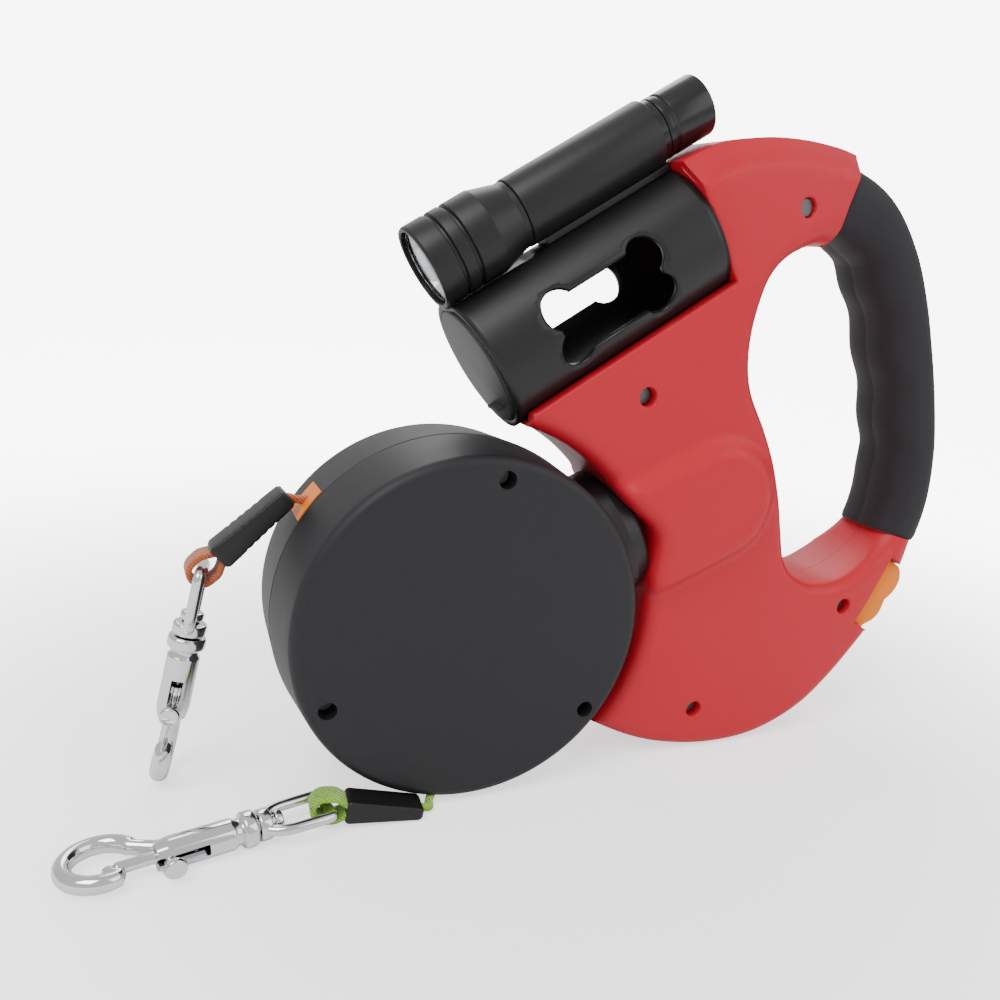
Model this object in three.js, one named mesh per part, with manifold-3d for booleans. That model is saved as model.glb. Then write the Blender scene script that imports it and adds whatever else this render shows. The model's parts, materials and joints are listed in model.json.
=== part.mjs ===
// Two-dog retractable leash: swivelling double reel, looped handle, bag tube and torch.
// Units are millimetres, +Z is up. The leash stands on the reel's rim and the handle's foot.
import * as THREE from 'three';
import { mergeVertices } from 'three/addons/utils/BufferGeometryUtils.js';
import Module from 'manifold-3d';

const wasm = await Module();
wasm.setup();

// ---------- driving dimensions ----------
const TILT = THREE.MathUtils.degToRad(33);        // lean of the leash when it stands on its rim
const GAP = 0.3;                                   // clearance between neighbouring pieces

const REEL_R = 54;                                 // reel radius at the seam
const REEL_FRONT = -26, REEL_BACK = 25;            // flat faces of the reel along its axis
const SEAM = -1.5;                                 // plane where the two case halves meet
const CASE_WALL = 2.2, CASE_FILLET = 3.2, CASE_DRAFT = 1.4;
const CASE_SCREW_RING = 46.3;
const CASE_SCREW_ANGLES = [49.8, 169.8, 289.8];

const SWIVEL_DROP = THREE.MathUtils.degToRad(9.5); // swivel axis dips by this much from the tube's line
const NECK_R = 21, NECK_END = 63;
const STEM_R = 9, STEM_END = 97.5;
const HOUSING_R = 22.5;                            // bearing housing in the handle
const CLEAR_R = 60.5;                              // concave edge of the handle around the reel

const BODY_T = 18;                                 // half thickness of the handle's body
const GRIP_T = 14.8;                               // half thickness at the grip
const SHELL_WALL = 2.7;
const BODY_SCREWS = [[80.8, 29], [153.3, 50.3], [118.4, -82.5], [49.9, -78.2]];

const TUBE_Z = 58.5, TUBE_R = 19.8, TUBE_WALL = 2;
const TUBE_FRONT = 43.9, TUBE_REAR = 121;
const LEDGE_Z = 43.7;                              // top edge of the body beside the tube

const TORCH_Z = 88.8, TORCH_FRONT = 42.9, TORCH_R = 11.7;
const SLEEVE_FRONT = 73.4, SLEEVE_REAR = 119.6, SLEEVE_R = 9.6;
const BARREL_R = 8.5, TAIL_END = 138.5;

const SPOOL_R = 41, DRUM_R = 26, COIL_R = 36;      // spool flange, drum and full winding
const AXLE_R = 4;
const RATCHET_TEETH = 13, TOOTH_DEPTH = 4;

const BUTTON_MID = [137, -93.7], BUTTON_HALF = 13.5, BUTTON_PROUD = 5.8;
const LEVER_PIVOT = [84, -52];
const ROD_INNER = 44.7, TUBE_INNER = 46.6;         // where the push rod and tube end, close behind the pawls

const BLOCK_LENGTH = 22, BLOCK_WIDTH = 9.6, BLOCK_THICK = 7.2;
const LEAD_R = 1.25;
const BAR_AHEAD = 5.4, LOOP_REACH = 0.4;           // the eye's bar ahead of the block, and the loop past it
const ORANGE_Y = 6.5, GREEN_Y = -17.5;             // planes that the two leads run in

// ---------- materials ----------
function material(color, roughness, metalness) {
  return new THREE.MeshStandardMaterial({ color, roughness, metalness });
}
const RED = material(0xc94446, 0.42, 0), BLACK = material(0x2b2b2f, 0.55, 0);
const REEL_BLACK = material(0x3a3a3e, 0.6, 0), GRIP_RUBBER = material(0x2d2c32, 0.85, 0);
const GLOSS_BLACK = material(0x0c0c0d, 0.15, 0), CAP_GREY = material(0x787674, 0.6, 0);
const ORANGE = material(0xf0962c, 0.45, 0), GREEN = material(0x8fc63d, 0.45, 0);
const ORANGE_WEAVE = material(0xd8713a, 0.95, 0), GREEN_WEAVE = material(0xa6d84a, 0.95, 0);
const CHROME = material(0xd8d8da, 0.12, 1), STEEL = material(0xb0b0b2, 0.35, 1);
const BRASS = material(0xb08d4a, 0.35, 1), ACETAL = material(0xd9d6cc, 0.5, 0);
const LENS = material(0xdfe6ea, 0.05, 0), LED = material(0xe8d35a, 0.4, 0);

// ---------- solids ----------
function toSolid(geometry) {
  const bare = geometry.clone();
  bare.deleteAttribute('normal');
  bare.deleteAttribute('uv');
  const merged = mergeVertices(bare, 1e-4);
  const points = merged.attributes.position.array;
  const corners = Uint32Array.from(merged.index.array);
  if (signedVolume(points, corners) < 0) {
    for (let i = 0; i < corners.length; i += 3) {
      [corners[i + 1], corners[i + 2]] = [corners[i + 2], corners[i + 1]];
    }
  }
  return new wasm.Manifold(new wasm.Mesh({ numProp: 3, vertProperties: points, triVerts: corners }));
}

function signedVolume(points, corners) {
  const a = new THREE.Vector3(), b = new THREE.Vector3(), c = new THREE.Vector3();
  let volume = 0;
  for (let i = 0; i < corners.length; i += 3) {
    a.fromArray(points, corners[i] * 3);
    b.fromArray(points, corners[i + 1] * 3);
    c.fromArray(points, corners[i + 2] * 3);
    volume += a.dot(b.cross(c)) / 6;
  }
  return volume;
}

function toGeometry(solid) {
  const mesh = solid.getMesh();
  const geometry = new THREE.BufferGeometry();
  geometry.setAttribute('position', new THREE.BufferAttribute(new Float32Array(mesh.vertProperties), 3));
  geometry.setIndex(new THREE.BufferAttribute(new Uint32Array(mesh.triVerts), 1));
  geometry.computeVertexNormals();
  return geometry;
}

// A flat outline in the x-z plane, given thickness from yLow to yHigh.
function plate(shape, yLow, yHigh, bevel = 0, segments = 1, curveSegments = 6) {
  const geometry = new THREE.ExtrudeGeometry(shape, {
    depth: yHigh - yLow - 2 * bevel,
    bevelEnabled: bevel > 0,
    bevelThickness: bevel,
    bevelSize: bevel,
    bevelOffset: -bevel,
    bevelSegments: segments,
    curveSegments,
  });
  geometry.rotateX(Math.PI / 2);
  geometry.translate(0, yHigh - bevel, 0);
  return toSolid(geometry);
}

// The same outline without doubled points, which arcs leave where they meet a line.
function tidy(outline, divisions = 4) {
  const tidyPoints = (points) => points.filter((point, i) => {
    const before = points[(i + points.length - 1) % points.length];
    return point.distanceTo(before) > 1e-3;
  });
  const rim = tidyPoints(outline.getPoints(divisions));
  if (THREE.ShapeUtils.isClockWise(rim)) rim.reverse();
  const shape = new THREE.Shape(rim);
  for (const hole of outline.holes) shape.holes.push(new THREE.Path(tidyPoints(hole.getPoints(divisions))));
  return shape;
}

function polygon(points) {
  return new THREE.Shape(points.map(([x, z]) => new THREE.Vector2(x, z)));
}

// A profile of [radius, distance] points, turned about the y axis.
function turnedY(profile, segments = 32) {
  const points = profile.map(([r, h]) => new THREE.Vector2(r, h));
  return toSolid(new THREE.LatheGeometry(points, segments));
}

// The same, turned about the x axis through (y, z).
function turnedX(profile, segments = 32, y = 0, z = 0) {
  const points = profile.map(([r, h]) => new THREE.Vector2(r, h));
  const geometry = new THREE.LatheGeometry(points, segments);
  geometry.rotateZ(-Math.PI / 2);
  geometry.translate(0, y, z);
  return toSolid(geometry);
}

function ring(rOuter, rInner, low, high) {
  return [[rInner, low], [rOuter, low], [rOuter, high], [rInner, high], [rInner, low]];
}

function rod(r, low, high) {
  return [[0, low], [r, low], [r, high], [0, high]];
}

// A round bar along y at (x, z).
function pinY(x, z, r, low, high, segments = 12) {
  return turnedY(rod(r, low, high), segments).translate([x, 0, z]);
}

function block(xLow, xHigh, yLow, yHigh, zLow, zHigh) {
  const geometry = new THREE.BoxGeometry(xHigh - xLow, yHigh - yLow, zHigh - zLow);
  geometry.translate((xLow + xHigh) / 2, (yLow + yHigh) / 2, (zLow + zHigh) / 2);
  return toSolid(geometry);
}

// A round cord along a curve.
function cord(curve, r, steps, sides = 8) {
  const section = new THREE.Shape();
  for (let i = 0; i < sides; i += 1) {
    const angle = (2 * Math.PI * i) / sides;
    const x = r * Math.cos(angle), y = r * Math.sin(angle);
    if (i === 0) section.moveTo(x, y);
    else section.lineTo(x, y);
  }
  return toSolid(new THREE.ExtrudeGeometry(section, { steps, extrudePath: curve, bevelEnabled: false }));
}

function vectors(points) {
  return points.map(([x, z]) => new THREE.Vector2(x, z));
}

function vector(x, y, z) {
  return new THREE.Vector3(x, y, z);
}

// ---------- groups ----------
const stand = new THREE.Group();                   // the floor frame, under the reel's centre
const leash = new THREE.Group();                   // leaned frame: x along the bag tube, reel at the origin
leash.position.z = REEL_R;
leash.rotation.y = -TILT;
const swivel = new THREE.Group();                  // x along the swivel axis
swivel.rotation.y = SWIVEL_DROP;
stand.add(leash);
leash.add(swivel);

function add(parent, name, solid, look) {
  const mesh = new THREE.Mesh(toGeometry(solid), look);
  mesh.name = name;
  parent.add(mesh);
  return mesh;
}

const DROP_DEGREES = THREE.MathUtils.radToDeg(SWIVEL_DROP);
function alongSwivel(solid) {                      // from the swivel frame into the leash frame
  return solid.rotate([0, DROP_DEGREES, 0]);
}

// ---------- handle ----------
const GRIP_CURVE = [[193, 27], [194.8, 12], [193.9, -2], [191.3, -19], [187, -36.5], [181.5, -54.5],
  [174, -69.5], [163.5, -79], [150, -86.9]];
const TOP_CURVE = [[134.7, 78.8], [146, 75], [157, 70], [169.5, 62.5], [181, 53], [188.5, 41]];

function bodyShape() {
  const shape = new THREE.Shape();
  const top = Math.asin(LEDGE_Z / CLEAR_R);
  const bottom = -1.28;
  shape.moveTo(CLEAR_R * Math.cos(top), LEDGE_Z);
  shape.lineTo(TUBE_REAR + GAP, LEDGE_Z);
  shape.lineTo(TUBE_REAR + GAP, 80.3);
  shape.splineThru(vectors([...TOP_CURVE, ...GRIP_CURVE]));
  shape.lineTo(122.6, -101.3);
  shape.splineThru([
    [106, -106.5], [90, -109.4], [75, -108.2], [61.5, -103.7], [47, -94.7], [34.5, -83.3], [25.5, -72],
    [CLEAR_R * Math.cos(bottom), CLEAR_R * Math.sin(bottom)],
  ].map(([x, z]) => new THREE.Vector2(x, z)));
  shape.absarc(0, 0, CLEAR_R, bottom, top, false);
  return shape;
}

// The top of the body alone, whose edges carry a broad flat chamfer.
function crownShape() {
  const shape = new THREE.Shape();
  shape.moveTo(90, -20);
  shape.lineTo(90, 80.3);
  shape.lineTo(TUBE_REAR + GAP, 80.3);
  shape.splineThru([...TOP_CURVE, [193, 27], [194.8, -20]].map(([x, z]) => new THREE.Vector2(x, z)));
  return shape;
}

function openingPath() {
  const path = new THREE.Path();
  const left = [[165, 28.4], [156, 36.5], [144.5, 40], [134, 38], [125, 30.5], [118, 20.5], [114.6, 10],
    [114.4, -4], [113.4, -16], [110.6, -29], [107, -40.5], [104.2, -50.5], [105.3, -59], [110.4, -67],
    [119.5, -72.6]];
  const low = [[130, -74.4], [141, -73.2], [150, -69.4], [157.5, -59]];
  const all = [...left, ...low, [164.5, -38], [169.5, -14], [171.8, 8], [170.6, 21.6]];
  path.moveTo(...all[0]);
  path.splineThru(vectors(all.slice(1)));
  return path;
}

const gripRegion = plate(polygon([[146, 24.5], [200, 69.9], [240, 69.9], [240, -110], [179, -104.2],
  [133, -55.1]]), -40, 40);

function handleBlank(bevel, segments, halfThickness) {
  const shape = bodyShape();
  shape.holes.push(openingPath());
  return plate(shape, -halfThickness, halfThickness, bevel, segments, 2);
}

function redBody() {
  const side = new THREE.Shape();                  // thickness tapers from the body to the grip
  side.moveTo(0, -BODY_T).lineTo(132, -BODY_T).lineTo(166, -GRIP_T).lineTo(220, -GRIP_T);
  side.lineTo(220, GRIP_T).lineTo(166, GRIP_T).lineTo(132, BODY_T).lineTo(0, BODY_T).closePath();
  const taper = toSolid(new THREE.ExtrudeGeometry(side, { depth: 260, bevelEnabled: false }))
    .translate([0, 0, -140]);
  const plain = handleBlank(2.4, 1, BODY_T);
  const faceted = plate(crownShape(), -BODY_T, BODY_T, 6, 1, 2);
  const crown = plate(polygon([[116, 58], [150, 40], [240, 40], [240, 120], [116, 120]]), -40, 40);
  let body = plain.subtract(crown.subtract(faceted)).intersect(taper);
  const housing = alongSwivel(turnedX([[0, 52], [HOUSING_R, 52], [HOUSING_R, 92], [21.6, 100],
    [18.4, 107], [12, 109.5], [0, 110]], 22));
  body = body.add(housing);
  const reach = turnedY(rod(CLEAR_R, -60, 60), 52);
  const trough = turnedX(rod(TUBE_R + GAP + 0.1, 30, TUBE_REAR + GAP), 28, 0, TUBE_Z);
  const neckPocket = alongSwivel(turnedX([[0, 50], [NECK_R + 0.9, 50], [NECK_R + 0.9, NECK_END + 1.2],
    [0, NECK_END + 1.2]], 22));
  const torchRelief = turnedX(rod(SLEEVE_R + 0.4, 100, 165), 22, 0, TORCH_Z);
  return body.subtract(reach).subtract(trough).subtract(neckPocket).subtract(torchRelief);
}

// The bent bar of the handle where the hand closes round it, with a squarish oval section.
function gripBar(inset) {
  const path = new THREE.CatmullRomCurve3([[158, 54], [171, 43.5], [179.8, 31.5], [183.2, 16], [182.7, 0],
    [179.8, -18], [176, -35], [170.6, -52], [162, -67.5], [150, -78.5], [134, -85.5]]
    .map(([x, z]) => vector(x, 0, z)));
  const section = new THREE.Shape(vectors(oval(GRIP_T - inset, 11.2 - inset, 14)));
  return toSolid(new THREE.ExtrudeGeometry(section, { steps: 15, extrudePath: path, bevelEnabled: false }));
}

// Points round an oval whose sides are flatter than an ellipse's.
function oval(halfX, halfY, count) {
  const flatten = (value) => Math.sign(value) * Math.abs(value) ** 0.8;
  return Array.from({ length: count }, (_, i) => {
    const angle = (2 * Math.PI * i) / count;
    return [halfX * flatten(Math.cos(angle)), halfY * flatten(Math.sin(angle))];
  });
}

const mainPocket = [[50, -47], [56, -38.5], [84, -42], [89, -24], [89.5, -12], [107, -12], [107.6, -27],
  [103.6, -40], [100.6, -50], [101.6, -60], [107, -71], [117.5, -76.5], [131, -77.3], [146, -76.3],
  [152.5, -81.2], [120, -98.2], [104, -102.6], [90, -105.6], [76, -104.4], [64, -100], [50, -91.4], [38, -80],
  [31, -70], [31, -63], [41, -55]];
const topPocket = [[88, 10], [110, 6], [111.4, 20], [121, 35], [114, 40], [70, 40], [56, 36], [60, 26],
  [66, 14]];

function pockets() {
  const depth = BODY_T - SHELL_WALL;
  let space = plate(polygon(mainPocket), -depth, depth);
  space = space.add(plate(polygon(topPocket), -9, 9));
  space = space.subtract(alongSwivel(turnedX(rod(19.5, 50, 93.4), 18)));
  for (const [x, z] of BODY_SCREWS) space = space.subtract(pinY(x, z, 4.8, -20, 20));
  return space;
}

function bearingBores() {
  const bush = turnedX(rod(12.8, 69.7, 93.5), 18);
  const passage = turnedX(rod(STEM_R + 0.5, 60, 96), 18);
  const clip = turnedX(rod(14, 93, 104), 18);
  return alongSwivel(bush.add(passage).add(clip));
}

const EDGE = new THREE.Vector2(-0.885, -0.4656).normalize();   // along the straight rear edge
const OUT = new THREE.Vector2(-EDGE.y, EDGE.x);                // away from it
function edgePoint(along, out) {
  return [BUTTON_MID[0] + EDGE.x * along + OUT.x * out, BUTTON_MID[1] + EDGE.y * along + OUT.y * out];
}

function buttonSlot() {
  const half = BUTTON_HALF + GAP;
  const mouth = [edgePoint(-half, 8), edgePoint(half, 8), edgePoint(half, -6), edgePoint(-half, -6)];
  return plate(polygon(mouth), -12.9, 12.9);
}

function addHandle() {
  const red = redBody().subtract(gripRegion);
  const wholeRed = red.add(gripBar(2.8));
  const hollow = wholeRed.subtract(pockets()).subtract(bearingBores()).subtract(buttonSlot());
  const grip = gripBar(0).intersect(gripRegion).subtract(gripBar(2.8 - GAP));
  const leftSide = block(-20, 260, -60, -GAP / 2, -150, 120);
  const rightSide = block(-20, 260, GAP / 2, 60, -150, 120);
  let left = hollow.intersect(leftSide);
  let right = hollow.intersect(rightSide);
  left = left.subtract(pinY(...LEVER_PIVOT, 2.3, -13, 0));
  right = right.subtract(pinY(...LEVER_PIVOT, 2.3, 0, 13));
  BODY_SCREWS.forEach(([x, z], i) => {
    left = left.subtract(pinY(x, z, 2.9, -30, -12).add(pinY(x, z, 1.8, -13, 1)));
    right = right.subtract(pinY(x, z, 1.8, -1, 9.2));
    const screw = pinY(x, z, 2.5, -14.3, -12.3, 12).add(pinY(x, z, 1.4, -12.4, 8.8, 8));
    add(leash, `body_screw_${i + 1}`, screw, STEEL);
  });
  add(leash, 'left_body_shell', left, RED);
  add(leash, 'right_body_shell', right, RED);
  const gripLeft = block(120, 260, -60, -GAP / 2, -110, 70);
  const gripRight = block(120, 260, GAP / 2, 60, -110, 70);
  add(leash, 'left_grip_pad', grip.intersect(gripLeft), GRIP_RUBBER);
  add(leash, 'right_grip_pad', grip.intersect(gripRight), GRIP_RUBBER);
  add(swivel, 'swivel_bush', turnedX(ring(12.5, STEM_R + GAP, 70, 93), 18), BRASS);
}

// ---------- bag tube and torch ----------
function boneCutter() {
  const lobe = 5.7, reachX = 14.4, reachZ = 5.7, mid = [82, TUBE_Z + 0.8];
  let bone = block(mid[0] - reachX, mid[0] + reachX, -40, 40, mid[1] - 5, mid[1] + 5.6);
  for (const sx of [-1, 1]) {
    for (const sz of [-1, 1]) bone = bone.add(pinY(mid[0] + sx * reachX, mid[1] + sz * reachZ, lobe, -40, 40, 12));
  }
  return bone;
}

function addTubeAndCap() {
  const wall = ring(TUBE_R, TUBE_R - TUBE_WALL, TUBE_FRONT, TUBE_REAR);
  const headRelief = turnedX(rod(TORCH_R + GAP, 30, SLEEVE_FRONT), 24, 0, TORCH_Z);
  const tube = turnedX(wall, 28, 0, TUBE_Z).subtract(boneCutter()).subtract(headRelief);
  add(leash, 'bag_tube', tube, BLACK);
  const face = TUBE_FRONT - 0.7, skirt = TUBE_R - TUBE_WALL - GAP;
  const profile = [[0, face], [skirt - 0.4, face], [skirt, face + 0.4], [skirt, TUBE_FRONT + 6],
    [skirt - 1.6, TUBE_FRONT + 6], [skirt - 1.6, TUBE_FRONT + 1.2], [0, TUBE_FRONT + 1.2]];
  const tab = block(face - 0.9, face + 0.4, -7, 1, TUBE_Z - 12.4, TUBE_Z - 11.4);
  add(leash, 'bag_tube_cap', turnedX(profile, 24, 0, TUBE_Z).add(tab), CAP_GREY);
}

function addTorch() {
  const z = TORCH_Z;
  const sleeve = turnedX(rod(SLEEVE_R, SLEEVE_FRONT, SLEEVE_REAR), 22, 0, z);
  const saddle = block(SLEEVE_FRONT + 4, SLEEVE_REAR + 1, -4.2, 4.2, TUBE_Z + 15, z);
  const tube = turnedX(rod(TUBE_R + GAP, 30, TUBE_REAR + GAP), 28, 0, TUBE_Z);
  const bore = turnedX(rod(BARREL_R + GAP, 60, 150), 22, 0, z);
  add(leash, 'torch_cradle', sleeve.add(saddle).subtract(tube).subtract(bore), BLACK);
  const front = TORCH_FRONT, neck = SLEEVE_FRONT - GAP, r = TORCH_R;
  const head = turnedX([[r - 1.3, front], [r - 0.4, front], [r, front + 1], [r, 49.6], [r - 0.7, 49.9],
    [r - 0.7, 50.9], [r, 51.2], [r, 54.4], [r - 0.7, 54.7], [r - 0.7, 55.7], [r, 56], [r, 63.7],
    [9.3, neck], [7.3, neck], [7.3, 62.5], [r - 1.3, 61], [r - 1.3, front]], 16, 0, z);
  add(leash, 'torch_head', head, BLACK);
  const inner = r - 1.3 - GAP;
  add(leash, 'torch_lens', turnedX(rod(inner, 44.2, 45.8), 22, 0, z), LENS);
  const dish = [[3, 56.5], [inner - 0.8, 46.4], [inner, 46.4], [inner, 57.5], [3, 57.5], [3, 56.5]];
  add(leash, 'torch_reflector', turnedX(dish, 22, 0, z), CHROME);
  const module = turnedX([[0, 55.8], [2.3, 55.8], [2.3, 58], [inner, 58], [inner, 60.2], [0, 60.2]], 18, 0, z);
  add(leash, 'led_module', module, LED);
  const barrel = turnedX([[BARREL_R - 1.6, 64], [7, 64], [7, SLEEVE_FRONT + 1.5], [BARREL_R, SLEEVE_FRONT + 1.5],
    [BARREL_R, 122], [BARREL_R - 1.6, 122], [BARREL_R - 1.6, 64]], 18, 0, z);
  add(leash, 'torch_barrel', barrel, GLOSS_BLACK);
  add(leash, 'torch_battery', turnedX([[0, 64.4], [2, 64.4], [2, 65.6], [6.5, 65.6], [6.5, 114], [0, 114]], 20,
    0, z), STEEL);
  const tail = turnedX([[0, 115.5], [BARREL_R - 2, 115.5], [BARREL_R - 2, 122.3], [BARREL_R + 0.1, 122.3],
    [BARREL_R + 0.1, TAIL_END - 0.8], [BARREL_R - 0.7, TAIL_END], [5, TAIL_END], [5, TAIL_END - 4],
    [0, TAIL_END - 4]], 22, 0, z);
  add(leash, 'torch_tail_cap', tail, GLOSS_BLACK);
  add(leash, 'torch_tail_button', turnedX([[0, TAIL_END - 2.4], [4.6, TAIL_END - 2.4], [4.6, TAIL_END - 0.6],
    [3.4, TAIL_END + 0.2], [0, TAIL_END + 0.4]], 16, 0, z), GRIP_RUBBER);
}

// ---------- brake buttons and their linkage ----------
function buttonProfile() {
  const shape = new THREE.Shape();
  const start = edgePoint(-BUTTON_HALF, -6);
  shape.moveTo(...start);
  const crest = [[-BUTTON_HALF, 1.2], [-11.5, 4], [-8, BUTTON_PROUD], [-3.5, BUTTON_PROUD], [1, 4.6],
    [6, 5.2], [10, 3.4], [BUTTON_HALF, 0.6], [BUTTON_HALF, -6], [2.5, -6], [2.5, -9], [-2.5, -9],
    [-2.5, -6]];
  for (const [along, out] of crest) shape.lineTo(...edgePoint(along, out));
  return shape;
}

function helix(start, axis, side, radius, length, turns) {
  const across = new THREE.Vector3().crossVectors(axis, side);
  class Coil extends THREE.Curve {
    getPoint(t, target = new THREE.Vector3()) {
      const angle = 2 * Math.PI * turns * t;
      return target.copy(start).addScaledVector(axis, length * t)
        .addScaledVector(side, radius * Math.cos(angle)).addScaledVector(across, radius * Math.sin(angle));
    }
  }
  return new Coil();
}

function addBrake(name, side, look) {              // side -1 is the front one, orange
  const low = side < 0 ? -12.6 : GAP, high = low + 12.3;
  const lips = plate(polygon([edgePoint(-15.4, -6), edgePoint(15.4, -6), edgePoint(15.4, -4.2),
    edgePoint(-15.4, -4.2)]), low + 1, high - 1);
  add(leash, `${name}_brake_button`, plate(buttonProfile(), low, high).add(lips), look);
  const seat = edgePoint(-9, -8.5);
  const into = vector(-OUT.x, 0, -OUT.y), mid = (low + high) / 2;
  const coil = helix(vector(seat[0], mid, seat[1]), into, vector(0, 1, 0), 2.5, 3.8, 3);
  add(leash, `${name}_button_spring`, cord(coil, 0.4, 27, 5), STEEL);
  const tip = side < 0 ? 103.3 : 100.2;
  const at = (s, n) => [s * Math.cos(SWIVEL_DROP) + n * Math.sin(SWIVEL_DROP),
    -s * Math.sin(SWIVEL_DROP) + n * Math.cos(SWIVEL_DROP)];
  const arm = polygon([[LEVER_PIVOT[0] - 4.5, -50], [LEVER_PIVOT[0] - 2, -57], [96, -80], [105, -94.5],
    [117, -93], edgePoint(6, -9.3), edgePoint(-3, -9.3), edgePoint(-3, -13.5), edgePoint(5, -13.5),
    [120.5, -89.8], [109.5, -89.8], [101, -76], [89.5, -53], [100.5, -31], at(tip + 2.4, -8), at(tip + 2.4, 4),
    at(tip, 4), at(tip, -10), [96, -31], [86, -46]]);
  const near = side < 0 ? [-9, -2.2] : [2.2, 9];
  let lever = plate(arm, ...near);
  const toe = side < 0 ? [-3, 1.2] : [3.4, 6];
  lever = lever.add(plate(polygon([at(tip, -4), at(tip + 2.4, -4), at(tip + 2.4, 4), at(tip, 4)]), ...toe));
  if (side > 0) lever = lever.subtract(alongSwivel(turnedX(rod(3.3, 90, 110), 14)));
  add(leash, `${name}_brake_lever`, lever.subtract(pinY(...LEVER_PIVOT, 2.35, -20, 20)), ACETAL);
}

function addBrakes() {
  addBrake('orange', -1, ORANGE);
  addBrake('green', 1, GREEN);
  add(leash, 'lever_pin', pinY(...LEVER_PIVOT, 2, -12.6, 12.6), STEEL);
  add(swivel, 'orange_push_rod', turnedX(rod(2.8, ROD_INNER, 103), 14), STEEL);
  add(swivel, 'green_push_tube', turnedX(ring(4.8, 3.1, TUBE_INNER, 99.9), 16), STEEL);
}

// ---------- double reel ----------
function caseProfile(face, sign) {                 // sign is the side of the seam that the face is on
  const edge = SEAM + sign * GAP / 2, f = CASE_FILLET, r = REEL_R - CASE_DRAFT;
  const points = [[0, face]];
  for (let i = 0; i <= 2; i += 1) {
    const a = (Math.PI / 2) * (i / 2);
    points.push([r - f + f * Math.sin(a), face - sign * (f - f * Math.cos(a))]);
  }
  const inner = face - sign * CASE_WALL;
  points.push([REEL_R, edge], [REEL_R - CASE_WALL, edge], [r - CASE_WALL, inner], [0, inner]);
  return points;
}

function outletCutter(angle, y, halfWide, halfHigh, grow) {
  const cutter = block(44, 60, y - halfWide - grow, y + halfWide + grow, -halfHigh - grow, halfHigh + grow);
  return cutter.rotate([0, -angle, 0]);
}

const ORANGE_OUTLET = { angle: 142 - 33, y: 6.2, halfWide: 7.2, halfHigh: 5.4 };
const GREEN_OUTLET = { angle: -104 - 33, y: -13, halfWide: 9.4, halfHigh: 12 };

function leadChannel(from, to, r) {
  return cord(new THREE.LineCurve3(from, to), r, 1, 12);
}

const ORANGE_MOUTH = vector(-42.6, ORANGE_Y, 33.2);            // floor directions, from the reel's centre
const ORANGE_PULL = vector(Math.cos(THREE.MathUtils.degToRad(184)), 0, Math.sin(THREE.MathUtils.degToRad(184)));
const GREEN_ROUTE = [[8, GREEN_Y, 5.6], [0, GREEN_Y, 5.3], [-6, -18.3, 3.6], [-10, -21, 2.2], [-12.6, -25.2, 1.9]]
  .map((point) => vector(...point));             // in the floor frame
const fromCentre = (solid) => solid.rotate([0, THREE.MathUtils.radToDeg(TILT), 0]);

function addOutlet(name, outlet, channel, look) {
  const plug = outletCutter(outlet.angle, outlet.y, outlet.halfWide, outlet.halfHigh, -GAP);
  const shellRing = turnedY(ring(REEL_R - 0.15, REEL_R - CASE_WALL - 1.8, -25, 24), 60);
  const curved = turnedY(caseProfile(outlet.y < SEAM ? REEL_FRONT : REEL_BACK, outlet.y < SEAM ? -1 : 1), 60);
  const solid = plug.intersect(outlet.y < SEAM ? curved : shellRing).subtract(channel);
  add(leash, name, solid, look);
}

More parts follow.
